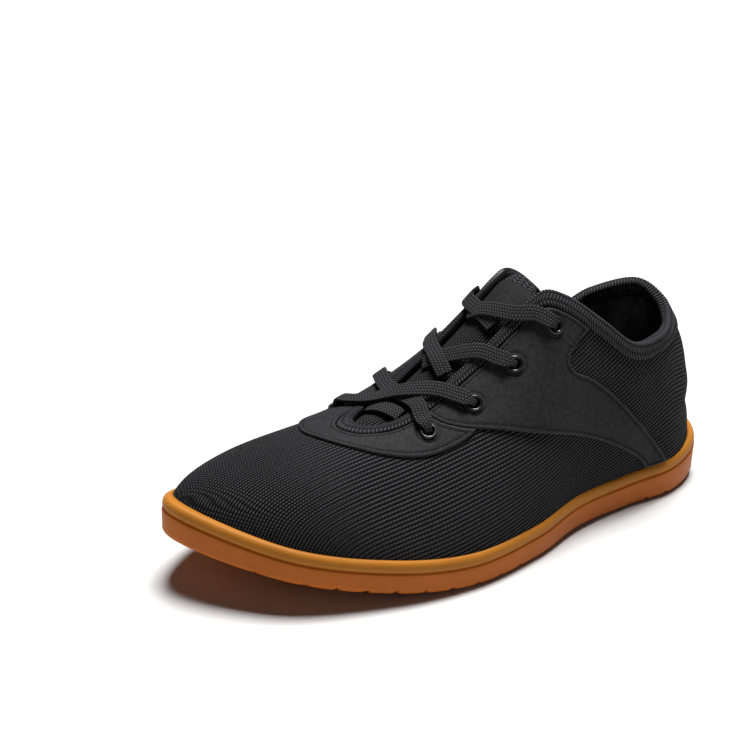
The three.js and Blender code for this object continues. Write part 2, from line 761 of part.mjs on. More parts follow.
// The way of one lace bar, from an eyelet over the throat to the next one up on the other side.
function laceWay(side, pair, [first, last], startsUnder, lift) {
  const other = side === "outer" ? "inner" : "outer";
  const facing = (eyelet, edge) => [
    laceSeat(skin(edge, 1), 3 * GAP + BAND_THICK),
    laceSeat(skin((eyelet.at + edge) / 2, (eyelet.high + 1) / 2), 3 * GAP + OVERLAY_THICK),
    laceSeat(eyelet, 5 * GAP + OVERLAY_THICK + EYELET_FLANGE),
  ];
  const [from, to] = [eyeletAt(side, pair), eyeletAt(other, pair + 1)];
  const across = overThroat(skin(first, 1), skin(last, 1));
  const start = startsUnder
    ? [across(LACE_START, tongueTop(LACE_START) + LACE_ARCH)]
    : facing(from, first).reverse();
  const crown = Math.max(tongueTop(0.5), 0) + LACE_ARCH + lift;
  return [...start, across(0.5, crown), ...facing(to, last)];
}

// A flat bar along a way, its width lying on the surface that the way runs over.
function laceBar(way) {
  const route = new THREE.CatmullRomCurve3(way.map(({ point }) => point), false, "centripetal");
  const upper = [];
  const lower = [];
  for (let k = 0; k <= LACE_STEPS; k += 1) {
    const share = k / LACE_STEPS;
    const place = share * (way.length - 1);
    const part = Math.min(Math.floor(place), way.length - 2);
    const out = way[part].out.clone().lerp(way[part + 1].out, place - part);
    const ahead = route.getTangent(share);
    const aside = out.clone().cross(ahead).normalize();
    const up = ahead.clone().cross(aside).normalize();
    const corner = (sideways, high) =>
      route
        .getPoint(share)
        .addScaledVector(aside, (sideways * LACE_WIDTH) / 2)
        .addScaledVector(up, (high * LACE_THICK) / 2);
    upper.push([corner(-1, 1), corner(1, 1)]);
    lower.push([corner(-1, -1), corner(1, -1)]);
  }
  return toSolid(thickSheet(upper, lower));
}

// Two bars that cross and touch, as one solid.
function laceCrossing({ pair, topFrom, startsUnder, top, under }) {
  const other = topFrom === "outer" ? "inner" : "outer";
  const above = laceWay(topFrom, pair, top, startsUnder, LACE_THICK - LACE_JOIN);
  const below = laceWay(other, pair, under, startsUnder, 0);
  return fromSolid(laceBar(above).add(laceBar(below)));
}

function laceStartBar() {
  const across = overThroat(skin(START_BAR.outer, 1), skin(START_BAR.inner, 1));
  const places = [LACE_START, 0.5, 1 - LACE_START];
  return fromSolid(laceBar(places.map((share) => across(share, tongueTop(share) + LACE_ARCH / 2))));
}

function material(color, roughness, metalness = 0) {
  return new THREE.MeshStandardMaterial({ color, roughness, metalness });
}

const materials = {
  gum: material(0xb06a2a, 0.6),
  knit: material(0x2c2c2e, 0.9),
  microfibre: material(0x222224, 0.75),
  binding: material(0x1e1e20, 0.85),
  lining: material(0x3a3a3c, 0.95),
  metal: material(0x101012, 0.25, 0.8),
  lace: material(0x19191b, 0.9),
};

function piece(name, geometry, finish) {
  const mesh = new THREE.Mesh(geometry, materials[finish]);
  mesh.name = name;
  return mesh;
}

const shoe = new THREE.Group();
shoe.add(piece("outsole", outsole(), "gum"));
shoe.add(piece("insole", insole(), "lining"));
shoe.add(piece("upper", upper(), "knit"));
shoe.add(piece("opening_band", openingBand(), "binding"));
shoe.add(piece("quarter_overlay_outer", quarterOverlay(1), "microfibre"));
shoe.add(piece("quarter_overlay_inner", quarterOverlay(-1), "microfibre"));
shoe.add(piece("vamp_overlay", vampOverlay(), "microfibre"));
shoe.add(piece("tongue", tongue(), "knit"));
for (const place of eyelets) shoe.add(piece(place.name, eyelet(place), "metal"));
shoe.add(piece("lace_start_bar", laceStartBar(), "lace"));
for (const crossing of CROSSINGS) {
  shoe.add(piece(`lace_crossing_${crossing.pair}`, laceCrossing(crossing), "lace"));
}

// The origin lies on the floor at the middle of the shoe's box.
const box = new THREE.Box3().setFromObject(shoe);
const middle = box.getCenter(new THREE.Vector3());
shoe.position.set(-middle.x, -middle.y, -box.min.z);

export default shoe;
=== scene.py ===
"""The looks of a left barefoot shoe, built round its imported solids.

Shapes are worked out in millimetres, in the same tables of shares as the solids, and every piece
is turned into metres in the shoe's frame when its mesh is made.
"""

import math

import bpy
import numpy as np
from mathutils import Matrix, Vector


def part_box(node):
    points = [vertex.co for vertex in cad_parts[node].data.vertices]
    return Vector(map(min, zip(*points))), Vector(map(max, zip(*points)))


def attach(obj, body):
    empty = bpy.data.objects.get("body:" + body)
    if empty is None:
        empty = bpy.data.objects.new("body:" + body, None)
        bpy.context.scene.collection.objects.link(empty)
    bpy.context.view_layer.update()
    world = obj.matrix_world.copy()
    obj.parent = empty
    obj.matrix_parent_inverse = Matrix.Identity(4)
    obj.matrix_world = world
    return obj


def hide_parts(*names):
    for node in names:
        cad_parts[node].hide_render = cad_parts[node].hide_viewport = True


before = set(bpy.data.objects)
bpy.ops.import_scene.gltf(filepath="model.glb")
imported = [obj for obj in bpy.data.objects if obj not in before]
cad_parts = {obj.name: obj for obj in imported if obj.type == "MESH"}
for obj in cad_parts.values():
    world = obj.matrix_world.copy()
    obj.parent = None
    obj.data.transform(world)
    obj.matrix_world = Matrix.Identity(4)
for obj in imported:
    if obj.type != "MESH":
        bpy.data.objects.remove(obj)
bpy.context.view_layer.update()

# Driving sizes in millimetres.
LENGTH = 284.0
BALL_WIDTH = 106.0
INSTEP_HEIGHT = 112.0
HEEL_HEIGHT = 87.0
SIDE_HEIGHT = 16.5
TOE_SPRING = 23.0
TOE_BREAK = 0.58
TOE_CURVE = 1.6
HEEL_SPRING = 3.0
HEEL_BREAK = 0.12
ARCH_RELIEF = 1.0
ARCH_START = 0.22
ARCH_END = 0.48
FOOTBED = 5.0
SIDE_WALL = 2.6
RIM_BAND = 5.0
GROOVE_DEPTH = 0.9
EDGE_ROUND = 4.0
UPPER_WALL = 1.8
COLLAR_WALL = 2.8
INSOLE_THICK = 3.5
OVERLAY_THICK = 1.1
BAND_WIDTH = 7.0
BAND_THICK = 1.0
BAND_RIB = 1.6
BAND_COLUMNS = 0.3
BAND_LEAN = 1.3
GAP = 0.3
TONGUE_THICK = 3.0
TONGUE_GAP = 1.0
TONGUE_TUCK = 11.0
TONGUE_CROWN = 3.5
TONGUE_RISE = 7.0
TONGUE_TOP_WIDTH = 0.75
EYELET_RADIUS = 4.0
EYELET_HOLE = 2.4
EYELET_BARREL = 0.7
EYELET_FLANGE = 1.0
LACE_WIDTH = 7.5
LACE_THICK = 1.6
LUG_DEPTH = 1.2
LUG_PITCH = 13.0
LUG_GROOVE = 2.2
LUG_WAVE = 3.0
LUG_BENDS = 8
RING_FACETS = 64
OTHER_SIDE = {"inner": "outer", "outer": "inner"}


class Table:
    """Rows of numbers with named columns, and smooth curves through them."""

    def __init__(self, names, *rows):
        self.columns = {
            name: np.array([row[k] for row in rows], float) for k, name in enumerate(names.split())
        }

    def curve(self, place, name, period=None):
        x, y = self.columns[place], self.columns[name]
        if period:
            x = np.concatenate([x[-3:] - period, x, x[:3] + period])
            y = np.concatenate([y[-3:], y, y[:3]])
        before = np.maximum(np.arange(len(x)) - 1, 0)
        after = np.minimum(np.arange(len(x)) + 1, len(x) - 1)
        slope = (y[after] - y[before]) / (x[after] - x[before])

        def value(at):
            at = np.mod(at, period) if period else np.asarray(at, float)
            k = np.clip(np.searchsorted(x, at, side="right") - 1, 0, len(x) - 2)
            span = x[k + 1] - x[k]
            t = np.clip((at - x[k]) / span, 0, 1)
            ends = (2 * t**3 - 3 * t**2 + 1) * y[k] + (3 * t**2 - 2 * t**3) * y[k + 1]
            bends = (t**3 - 2 * t**2 + t) * slope[k] + (t**3 - t**2) * slope[k + 1]
            return ends + span * bends

        return value


OUTLINE = Table(
    "at along across",
    (0, 0.0, 0.0),
    (1, 0.03, 0.212),
    (2, 0.116, 0.328),
    (3, 0.225, 0.333),
    (4, 0.342, 0.373),
    (5, 0.458, 0.467),
    (6, 0.599, 0.517),
    (7, 0.746, 0.448),
    (8, 0.901, 0.245),
    (9, 1.0, -0.16),
    (10, 0.926, -0.395),
    (11, 0.77, -0.492),
    (12, 0.599, -0.42),
    (13, 0.458, -0.335),
    (14, 0.342, -0.283),
    (15, 0.232, -0.302),
    (16, 0.12, -0.33),
    (17, 0.032, -0.226),
)
SIDE_HEIGHTS = Table(
    "along height",
    (0.0, 1.28),
    (0.1, 1.16),
    (0.3, 1.04),
    (0.5, 1.0),
    (0.7, 0.98),
    (0.88, 0.98),
    (1.0, 1.1),
)
WALL_LINES = Table(
    "at along across instep heel stand swell reach drop",
    (0, 0.066, 0.0, 0, 1.005, 0.5, 0, 0.108, 0.28),
    (1, 0.093, 0.129, 0, 0.945, 0.55, -0.04, 0.11, 0.15),
    (2, 0.149, 0.241, 0, 0.936, 0.41, 0.03, 0.045, 0.37),
    (3, 0.22, 0.267, 0, 0.942, 0.4, 0.02, 0.08, 0.4),
    (4, 0.29, 0.225, 0.45, 0.54, 0.4, 0.02, 0.12, 0.35),
    (4.6, 0.345, 0.165, 0.82, 0.2, 0.38, 0.02, 0.17, 0.3),
    (5, 0.385, 0.118, 0.995, 0, 0.37, 0.02, 0.2, 0.27),
    (6, 0.49, 0.09, 0.79, 0, 0.4, 0.02, 0.22, 0.32),
    (7, 0.605, 0.076, 0.61, 0, 0.5, 0.02, 0.26, 0.28),
    (8, 0.668, 0.048, 0.56, 0, 0.75, 0.02, 0.36, 0.24),
    (9, 0.695, -0.045, 0.55, 0, 0.9, 0.02, 0.47, 0.3),
    (10, 0.674, -0.11, 0.555, 0, 0.8, 0.02, 0.36, 0.2),
    (11, 0.6, -0.14, 0.61, 0, 0.55, 0.02, 0.22, 0.15),
    (12, 0.49, -0.145, 0.79, 0, 0.45, 0.02, 0.2, 0.22),
    (13, 0.385, -0.155, 0.995, 0, 0.4, 0.02, 0.17, 0.3),
    (13.4, 0.345, -0.19, 0.82, 0.2, 0.4, 0.02, 0.15, 0.32),
    (14, 0.29, -0.235, 0.45, 0.54, 0.4, 0.02, 0.11, 0.36),
    (15, 0.22, -0.27, 0, 0.925, 0.4, 0.02, 0.08, 0.4),
    (16, 0.154, -0.231, 0, 1.01, 0.42, 0.02, 0.062, 0.36),
    (17, 0.085, -0.13, 0, 1.068, 0.445, 0.015, 0.08, 0.29),
)
QUARTER_OUTLINE = Table(
    "along up",
    (0.615, 0.68),
    (0.597, 0.592),
    (0.573, 0.569),
    (0.5, 0.547),
    (0.412, 0.49),
    (0.314, 0.391),
    (0.243, 0.292),
    (0.2, 0.21),
    (0.165, 0.09),
    (0.12, 0.09),
    (0.145, 0.19),
    (0.191, 0.336),
    (0.233, 0.452),
    (0.274, 0.559),
    (0.323, 0.655),
    (0.356, 0.7),
    (0.365, 0.737),
    (0.358, 0.772),
    (0.3, 0.88),
    (0.27, 1.2),
    (0.55, 1.2),
)
VAMP_OUTLINE = Table(
    "along across",
    (0.547, 0.272),
    (0.601, 0.272),
    (0.64, 0.25),
    (0.68, 0.198),
    (0.72, 0.124),
    (0.747, 0.004),
    (0.763, -0.13),
    (0.755, -0.21),
    (0.735, -0.265),
    (0.7, -0.305),
    (0.66, -0.322),
    (0.61, -0.322),
    (0.56, -0.3),
    (0.48, -0.1),
    (0.5, 0.2),
)
# Each eyelet: its side, its pair, its wall line and how high on it.
EYELETS = (
    ("outer", 1, 6.75, 0.81),
    ("inner", 1, 11.0, 0.7),
    ("outer", 2, 6.1, 0.795),
    ("inner", 2, 11.7, 0.71),
    ("outer", 3, 5.45, 0.805),
    ("inner", 3, 12.45, 0.76),
    ("outer", 4, 4.8, 0.86),
    ("inner", 4, 13.05, 0.86),
)
# The tongue's rows from the front of the throat up: the wall lines it reaches on each side.
TONGUE_ROWS = Table(
    "row outer inner",
    (0, 9.0, 9.0),
    (1, 8.6, 9.4),
    (2, 8.0, 10.0),
    (3, 7.4, 10.6),
    (4, 6.8, 11.2),
    (5, 6.3, 11.7),
    (6, 5.8, 12.2),
    (7, 5.4, 12.6),
    (8, 5.1, 12.9),
)
# The creases: both ends as shares of the length, ball width and instep height, then
# the width and the depth in millimetres. A negative depth is a ridge.
CREASES = (
    ((0.5, 0.5, 0.28), (0.4, 0.45, 0.4), 5.0, 0.7),
    ((0.56, 0.52, 0.2), (0.43, 0.47, 0.3), 6.0, -0.5),
    ((0.0, 0.0, 0.33), (0.09, 0.33, 0.36), 4.5, 0.9),
    ((0.0, 0.0, 0.45), (0.12, 0.33, 0.43), 5.0, -0.6),
    ((0.0, 0.0, 0.33), (0.1, -0.33, 0.36), 4.5, 0.8),
    ((0.72, 0.3, 0.35), (0.68, 0.45, 0.24), 7.0, 0.5),
    ((0.5, -0.4, 0.5), (0.42, -0.38, 0.35), 6.0, 0.6),
    ((0.2, 0.33, 0.55), (0.1, 0.3, 0.62), 5.0, 0.5),
)

SOLE_LOW, SOLE_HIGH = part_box("outsole")
METRE = (SOLE_HIGH.y - SOLE_LOW.y) / LENGTH
ROWS_ROUND = 18

outline_along = OUTLINE.curve("at", "along", ROWS_ROUND)
outline_across = OUTLINE.curve("at", "across", ROWS_ROUND)
side_share = SIDE_HEIGHTS.curve("along", "height")
wall = {
    name: WALL_LINES.curve("at", name, ROWS_ROUND) for name in WALL_LINES.columns if name != "at"
}


def unit(vectors):
    return vectors / np.maximum(np.linalg.norm(vectors, axis=-1, keepdims=True), 1e-12)


def smooth(value, low=0.0, high=1.0):
    t = np.clip((value - low) / (high - low), 0, 1)
    return t * t * (3 - 2 * t)


def along_of(y):
    return 0.5 - y / LENGTH


def y_of(along):
    return LENGTH * (0.5 - along)


def underside(y):
    along = along_of(y)
    toe = np.clip((along - TOE_BREAK) / (1 - TOE_BREAK), 0, 2)
    heel = np.clip((HEEL_BREAK - along) / HEEL_BREAK, 0, 2)
    arch = np.clip((along - ARCH_START) / (ARCH_END - ARCH_START), 0, 1)
    relief = ARCH_RELIEF * (1 - np.cos(2 * np.pi * arch)) / 2
    return TOE_SPRING * toe**TOE_CURVE + HEEL_SPRING * heel**2 + relief


def footbed(y):
    return underside(y) + FOOTBED


def side_height(y):
    return SIDE_HEIGHT * side_share(np.clip(along_of(y), 0, 1))


def rim_height(place):
    return underside(place[1]) + side_height(place[1])


def outline_point(at, inset=0.0):
    """Points of the sole's outline in plan, moved in by a distance, and the way out."""
    at = np.asarray(at, float)
    step = 0.02

    def place(a):
        return np.stack([BALL_WIDTH * outline_across(a), y_of(outline_along(a)), 0 * a], -1)

    ahead = place(at + step) - place(at - step)
    out = unit(np.stack([-ahead[..., 1], ahead[..., 0], 0 * at], -1))
    return place(at) - out * np.asarray(inset, float)[..., None], out


def wall_point(at, high):
    """The upper's outer face: at runs round the foot, high from the sole to the opening's edge."""
    at, high = np.broadcast_arrays(np.asarray(at, float), np.asarray(high, float))
    foot, out = outline_point(at, np.full(at.shape, SIDE_WALL))
    foot[..., 2] = footbed(foot[..., 1]) + GAP
    height = wall["instep"](at) * INSTEP_HEIGHT + wall["heel"](at) * HEEL_HEIGHT
    edge = np.stack([BALL_WIDTH * wall["across"](at), y_of(wall["along"](at)), height], -1)
    rise = (edge - foot)[..., 2]
    lower = foot + out * (wall["swell"](at) * BALL_WIDTH)[..., None]
    lower[..., 2] += wall["stand"](at) * rise
    toward = foot - edge
    toward[..., 2] = 0
    upper = edge + unit(toward) * (wall["reach"](at) * BALL_WIDTH)[..., None]
    upper[..., 2] -= wall["drop"](at) * rise
    t = high[..., None]
    s = 1 - t
    return s**3 * foot + 3 * s**2 * t * lower + 3 * s * t**2 * upper + t**3 * edge


def crease_depth(points):
    """How far the listed creases press the upper in at some points."""
    depth = np.zeros(points.shape[:-1])
    for start, end, width, amount in CREASES:
        a, b = (
            np.array([BALL_WIDTH * across, y_of(along), INSTEP_HEIGHT * up])
            for along, across, up in (start, end)
        )
        line = b - a
        t = np.clip(((points - a) @ line) / (line @ line), 0, 1)
        apart = np.linalg.norm(points - (a + t[..., None] * line), axis=-1)
        fade = np.sin(np.pi * np.clip(t, 0.02, 0.98)) ** 0.7
        depth += amount * fade * np.exp(-((apart / width) ** 2))
    return depth


def skin(at, high, offset=0.0):
    """Points on the upper's face moved out by an offset, and the way out."""
    at, high, offset = np.broadcast_arrays(*(np.asarray(v, float) for v in (at, high, offset)))
    step = 0.01
    rising = wall_point(at, np.minimum(high + step, 1)) - wall_point(at, np.maximum(high - step, 0))
    around = wall_point(at + step, high) - wall_point(at - step, high)
    out = unit(np.cross(rising, around))
    point = wall_point(at, high)
    return point + out * (offset - crease_depth(point))[..., None], out


def solve(measure, goal, shape):
    """Where a rising measure reaches its goal, for an array of places at once."""
    low, high = np.zeros(shape), np.ones(shape)
    for _ in range(22):
        middle = (low + high) / 2
        below = measure(middle) < goal
        low, high = np.where(below, middle, low), np.where(below, high, middle)
    return (low + high) / 2


def rim_share(at, lift=0.0):
    at = np.asarray(at, float)
    point, _ = outline_point(at)
    top = underside(point[..., 1]) + side_height(point[..., 1]) + lift
    return solve(lambda high: wall_point(at, high)[..., 2], top, at.shape)


def edge_share(at, distance):
    at = np.asarray(at, float)
    edge = wall_point(at, np.ones(at.shape))
    return solve(
        lambda high: -np.linalg.norm(wall_point(at, high) - edge, axis=-1), -distance, at.shape
    )


def wall_thickness(at, high):
    collar = 1 - smooth(np.minimum(at, ROWS_ROUND - at), 4, 5)
    return UPPER_WALL + (COLLAR_WALL - UPPER_WALL) * collar * smooth(high, 0.55, 0.85)


# The solids are centred on their box, so the drawing is moved across by as much.
ring = outline_point(np.arange(RING_FACETS) * ROWS_ROUND / RING_FACETS)[0][:, 0]
SHIFT = np.array([(SOLE_LOW.x + SOLE_HIGH.x) / 2 / METRE - (ring.min() + ring.max()) / 2, 0, 0])


def to_frame(points):
    return (np.asarray(points, float) + SHIFT) * METRE


def volume(points, faces):
    a, b, c = (points[faces[:, k]] for k in range(3))
    return float(np.einsum("ij,ij->i", a, np.cross(b, c)).sum())


def add_piece(name, points, faces, materials, uv=None, slots=None, replaces=()):
    """A piece from points in millimetres. faces is a list of arrays, uv one of corner places."""
    total = sum(
        volume(points, group[:, [0, k, k + 1]]) for group in faces for k in range(1, group.shape[1] - 1)
    )
    if total < 0:
        faces = [group[:, ::-1] for group in faces]
        uv = [corners[:, ::-1] for corners in uv] if uv else None
    mesh = bpy.data.meshes.new(name)
    mesh.vertices.add(len(points))
    mesh.vertices.foreach_set("co", to_frame(points).astype(np.float32).ravel())
    corners = np.concatenate([group.ravel() for group in faces])
    counts = np.concatenate([np.full(len(group), group.shape[1]) for group in faces])
    mesh.loops.add(len(corners))
    mesh.loops.foreach_set("vertex_index", corners.astype(np.int32))
    mesh.polygons.add(len(counts))
    starts = np.concatenate([[0], np.cumsum(counts)[:-1]])
    mesh.polygons.foreach_set("loop_start", starts.astype(np.int32))
    if uv:
        places = np.concatenate([corner.reshape(-1, 2) for corner in uv])
        mesh.uv_layers.new(name="UVMap").data.foreach_set("uv", places.astype(np.float32).ravel())
    for each in materials:
        mesh.materials.append(each)
    if slots:
        index = np.concatenate([np.full(len(g), slot) for g, slot in zip(faces, slots)])
        mesh.polygons.foreach_set("material_index", index.astype(np.int32))
    mesh.update(calc_edges=True)
    mesh.shade_smooth()
    piece = bpy.data.objects.new(name, mesh)
    bpy.context.scene.collection.objects.link(piece)
    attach(piece, "root")
    if replaces:
        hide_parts(*replaces)
    return piece


def grid_faces(rows, columns, keep=None):
    """Four-cornered faces of a grid of points, only where keep allows."""
    i, j = np.meshgrid(np.arange(rows - 1), np.arange(columns - 1), indexing="ij")
    if keep is not None:
        i, j = i[keep], j[keep]
    first = (i * columns + j).ravel()
    return np.stack([first, first + columns, first + columns + 1, first + 1], 1)


def rim_walls(faces, count):
    """Walls that join a sheet's open edges to those of its other face, count points further on."""
    width = faces.shape[1]
    start = faces.ravel()
    end = faces[:, (np.arange(width) + 1) % width].ravel()
    size = int(max(start.max(), end.max())) + 1
    alone = ~np.isin(start * size + end, end * size + start)
    a, b = start[alone], end[alone]
    return np.stack([b, a, a + count, b + count], 1)


def thicken(name, outer, inner, faces, materials, uv=None, welded=None, slots=(0, 0, 0), **more):
    """A closed sheet from the points of its two faces. uv has one place for every point."""
    outer, inner = outer.reshape(-1, 3), inner.reshape(-1, 3)
    count = len(outer)
    body = faces if welded is None else welded[faces]
    body = body.astype(np.int64)
    walls = rim_walls(body, count)
    groups = [body, body[:, ::-1] + count, walls]
    corners = None
    if uv is not None:
        places = uv.reshape(-1, 2)
        corners = [places[faces], places[faces[:, ::-1]], places[walls % count]]
    used, fresh = np.unique(np.concatenate([group.ravel() for group in groups]), return_inverse=True)
    sizes = [group.size for group in groups]
    parts = np.split(fresh, np.cumsum(sizes)[:-1])
    groups = [part.reshape(group.shape) for part, group in zip(parts, groups)]
    points = np.concatenate([outer, inner])[used]
    return add_piece(name, points, groups, materials, uv=corners, slots=slots, **more)


def round_weld(rows, columns):
    """For a grid whose last row lies on its first: which point stands for each one."""
    index = np.arange(rows * columns)
    return np.where(index >= (rows - 1) * columns, index - (rows - 1) * columns, index)


def ring_grid(count, shares):
    """Places round the foot, closed, against shares made for each of them."""
    at = np.linspace(0, ROWS_ROUND, count + 1)
    at[-1] = 0
    rows = np.stack([share(at) if callable(share) else np.full(at.shape, share) for share in shares], 1)
    return np.repeat(at[:, None], rows.shape[1], 1), rows


class Nodes:
    """Short ways to add and join shader nodes in one material."""

    def __init__(self, name):
        self.material = bpy.data.materials.new(name)
        self.material.use_nodes = True
        self.tree = self.material.node_tree
        self.shader = self.tree.nodes["Principled BSDF"]

    def add(self, kind, **settings):
        node = self.tree.nodes.new(kind)
        for key, value in settings.items():
            setattr(node, key, value)
        return node

    def feed(self, socket, value):
        if hasattr(value, "is_linked"):
            self.tree.links.new(value, socket)
        else:
            socket.default_value = value

    def math(self, operation, first, second=0.0, third=0.0):
        node = self.add("ShaderNodeMath", operation=operation)
        for socket, value in zip(node.inputs, (first, second, third)):
            self.feed(socket, value)
        return node.outputs[0]

    def mix(self, share, first, second):
        node = self.add("ShaderNodeMix", data_type="RGBA")
        self.feed(node.inputs["Factor"], share)
        self.feed(node.inputs[6], first if hasattr(first, "is_linked") else (*first, 1))
        self.feed(node.inputs[7], second if hasattr(second, "is_linked") else (*second, 1))
        return node.outputs[2]

    def noise(self, scale, detail=2.0, vector=None):
        node = self.add("ShaderNodeTexNoise")
        node.inputs["Scale"].default_value = scale
        node.inputs["Detail"].default_value = detail
        self.feed(node.inputs["Vector"], vector or self.add("ShaderNodeTexCoord").outputs["Object"])
        return node.outputs["Fac"]

    def places(self):
        """The two places of the piece's own map, in its own units."""
        node = self.add("ShaderNodeSeparateXYZ")
        self.feed(node.inputs[0], self.add("ShaderNodeTexCoord").outputs["UV"])
        return node.outputs[0], node.outputs[1]

    def hump(self, place, pitch):
        """A rounded ridge that repeats: 0 in the gaps and 1 on the tops."""
        part = self.math("FRACT", self.math("DIVIDE", place, pitch))
        side = self.math("MULTIPLY_ADD", part, 2.0, -1.0)
        return self.math("SUBTRACT", 1.0, self.math("MULTIPLY", side, side))

    def finish(self, color, roughness, height=None, depth=0.0003, gloss=0.3):
        plain = not hasattr(color, "is_linked")
        self.feed(self.shader.inputs["Base Color"], (*color, 1) if plain else color)
        self.feed(self.shader.inputs["Roughness"], roughness)
        self.shader.inputs["Specular IOR Level"].default_value = gloss
        if height is not None:
            bump = self.add("ShaderNodeBump")
            bump.inputs["Strength"].default_value = 1.0
            bump.inputs["Distance"].default_value = depth
            self.feed(bump.inputs["Height"], height)
            self.feed(self.shader.inputs["Normal"], bump.outputs["Normal"])
        return self.material


# The line of stitches inside an overlay's border, and how wide the shade round it is.
STITCH_INSET = 1.9
SEAM_SHADE = 0.6
RIB_PITCH = 1.85
STITCH_PITCH = 1.6
TOE_DOT_PITCH = 1.3


def knit_cloth(name, dark, light, pitch=RIB_PITCH, dotted=False):
    """Ribs along the first place of the map, with small stitches along every rib.

    A dotted cloth turns into a fine grid of dots toward the toe. The colour runs from light on the tops
    to near black in the gaps: painted shade.
    """
    made = Nodes(name)
    run, across = made.places()

    def cloth(rib, stitch, contrast):
        cord = made.hump(across, rib)
        row = made.math("FLOOR", made.math("DIVIDE", across, rib))
        loop = made.hump(made.math("MULTIPLY_ADD", row, 0.42 * stitch, run), stitch)
        marks = made.math("MULTIPLY_ADD", made.math("POWER", loop, 0.7), contrast, 1 - contrast)
        return made.math("MULTIPLY", made.math("POWER", cord, 1.6), marks)

    top = cloth(pitch, STITCH_PITCH, 0.6)
    if dotted:
        seat = made.add("ShaderNodeSeparateXYZ")
        made.feed(seat.inputs[0], made.add("ShaderNodeTexCoord").outputs["Object"])
        start, end = (y_of(along) * METRE for along in (0.74, 0.86))
        ahead = made.math("DIVIDE", made.math("SUBTRACT", seat.outputs[1], start), end - start)
        share = made.math("MINIMUM", made.math("MAXIMUM", ahead, 0.0), 1.0)
        dots = cloth(TOE_DOT_PITCH, TOE_DOT_PITCH, 0.9)
        apart = made.math("SUBTRACT", dots, top)
        top = made.math("MULTIPLY_ADD", apart, share, top)
    uneven = made.noise(900.0, 2.0)
    height = made.math("MULTIPLY_ADD", uneven, 0.2, top)
    worn = made.math("MULTIPLY_ADD", uneven, 0.9, 0.45)
    # Painted shade: the colour follows the height of the ribs, stitches and dots, so the gaps between
    # them are near black.
    tone = made.math("MULTIPLY", made.math("POWER", top, 1.5), worn)
    return made.finish(made.mix(tone, dark, light), 0.85, height, 0.0006, 0.06)


def grained(name, dark, light, roughness, scale, depth, gloss):
    made = Nodes(name)
    fine = made.noise(scale, 4.0)
    broad = made.noise(scale / 5, 2.0)
    tone = made.math("MULTIPLY_ADD", fine, 1.5, made.math("MULTIPLY_ADD", broad, 0.9, -0.7))
    return made.finish(made.mix(tone, dark, light), roughness, fine, depth, gloss)


def rubber(name, dark, light):
    made = Nodes(name)
    broad = made.noise(60.0, 3.0)
    fine = made.noise(1400.0, 2.0)
    color = made.mix(made.math("MULTIPLY_ADD", broad, 1.2, -0.1), dark, light)
    rough = made.math("MULTIPLY_ADD", broad, 0.15, 0.46)
    return made.finish(color, rough, fine, 0.00006, 0.16)


def folded(name, dark, light):
    """Dark soft cloth with faint upright folds, with painted shade: lighter on the folds' crests and
    darker in their hollows.
    """
    made = Nodes(name)
    stretch = made.add("ShaderNodeMapping")
    stretch.inputs["Scale"].default_value = (1, 1, 0.12)
    made.feed(stretch.inputs["Vector"], made.add("ShaderNodeTexCoord").outputs["Object"])
    fold = made.noise(150.0, 1.0, stretch.outputs[0])
    grain = made.math("MULTIPLY_ADD", made.noise(1500.0), 0.5, -1.0)
    # Painted shade: lighter on the folds' crests and darker in their hollows.
    tone = made.math("MULTIPLY_ADD", fold, 2.4, grain)
    return made.finish(made.mix(tone, dark, light), 0.95, fold, 0.004, 0.05)


def woven(name, dark, light, columns, pitch, lean):
    """Columns of slanted stitches that lean in turn to either side, columns to a unit of the map, with
    painted shade: near black in the gaps between stitches and between columns.
    """
    made = Nodes(name)
    run, across = made.places()
    column = made.math("MULTIPLY", across, columns)
    number = made.math("FLOOR", column)
    part = made.math("FRACT", column)
    odd = made.math("MULTIPLY_ADD", made.math("FLOORED_MODULO", number, 2.0), 2.0, -1.0)
    slant = made.math("MULTIPLY", made.math("MULTIPLY", part, odd), lean)
    stitch = made.hump(made.math("ADD", run, slant), pitch)
    side = made.hump(column, 1.0)
    top = made.math("MULTIPLY", made.math("POWER", stitch, 1.2), made.math("POWER", side, 0.5))
    fibre = made.noise(2500.0, 2.0)
    height = made.math("MULTIPLY_ADD", fibre, 0.15, top)
    # Painted shade: the colour follows the stitches' height, near black in the gaps between stitches
    # and between columns.
    tone = made.math("MULTIPLY", top, made.math("MULTIPLY_ADD", fibre, 0.8, 0.5))
    return made.finish(made.mix(tone, dark, light), 0.8, height, 0.0005, 0.08)


def edged(name, dark, light):
    """Fine matte cloth whose map tells how far a place lies inside its border, painted lighter along
    the rolled border (a painted highlight) and darker along the line of stitches (painted shade).
    """
    made = Nodes(name)
    inside, _ = made.places()
    fine, broad = made.noise(2400.0, 4.0), made.noise(480.0, 2.0)
    tone = made.math("MULTIPLY_ADD", fine, 1.5, made.math("MULTIPLY_ADD", broad, 0.9, -0.7))
    # Painted shade: darker along the line of stitches, fading out SEAM_SHADE to either side.
    seam = made.math("ABSOLUTE", made.math("SUBTRACT", inside, STITCH_INSET))
    groove = made.math("MINIMUM", made.math("DIVIDE", seam, SEAM_SHADE), 1.0)
    # Painted highlight: lighter along the rolled border, fading out 1.1 mm inside the edge.
    roll = made.math("MAXIMUM", made.math("SUBTRACT", 1.0, made.math("DIVIDE", inside, 1.1)), 0.0)
    shade = made.math("MULTIPLY_ADD", groove, 0.75, 0.25)
    tone = made.math("MULTIPLY", made.math("MULTIPLY_ADD", roll, 0.5, tone), shade)
    return made.finish(made.mix(tone, dark, light), 0.7, fine, 0.00016, 0.12)


def black_metal(name):
    made = Nodes(name)
    made.shader.inputs["Coat Weight"].default_value = 0.4
    made.shader.inputs["Coat Roughness"].default_value = 0.1
    return made.finish((0.004, 0.004, 0.0045), 0.3, None, gloss=0.3)
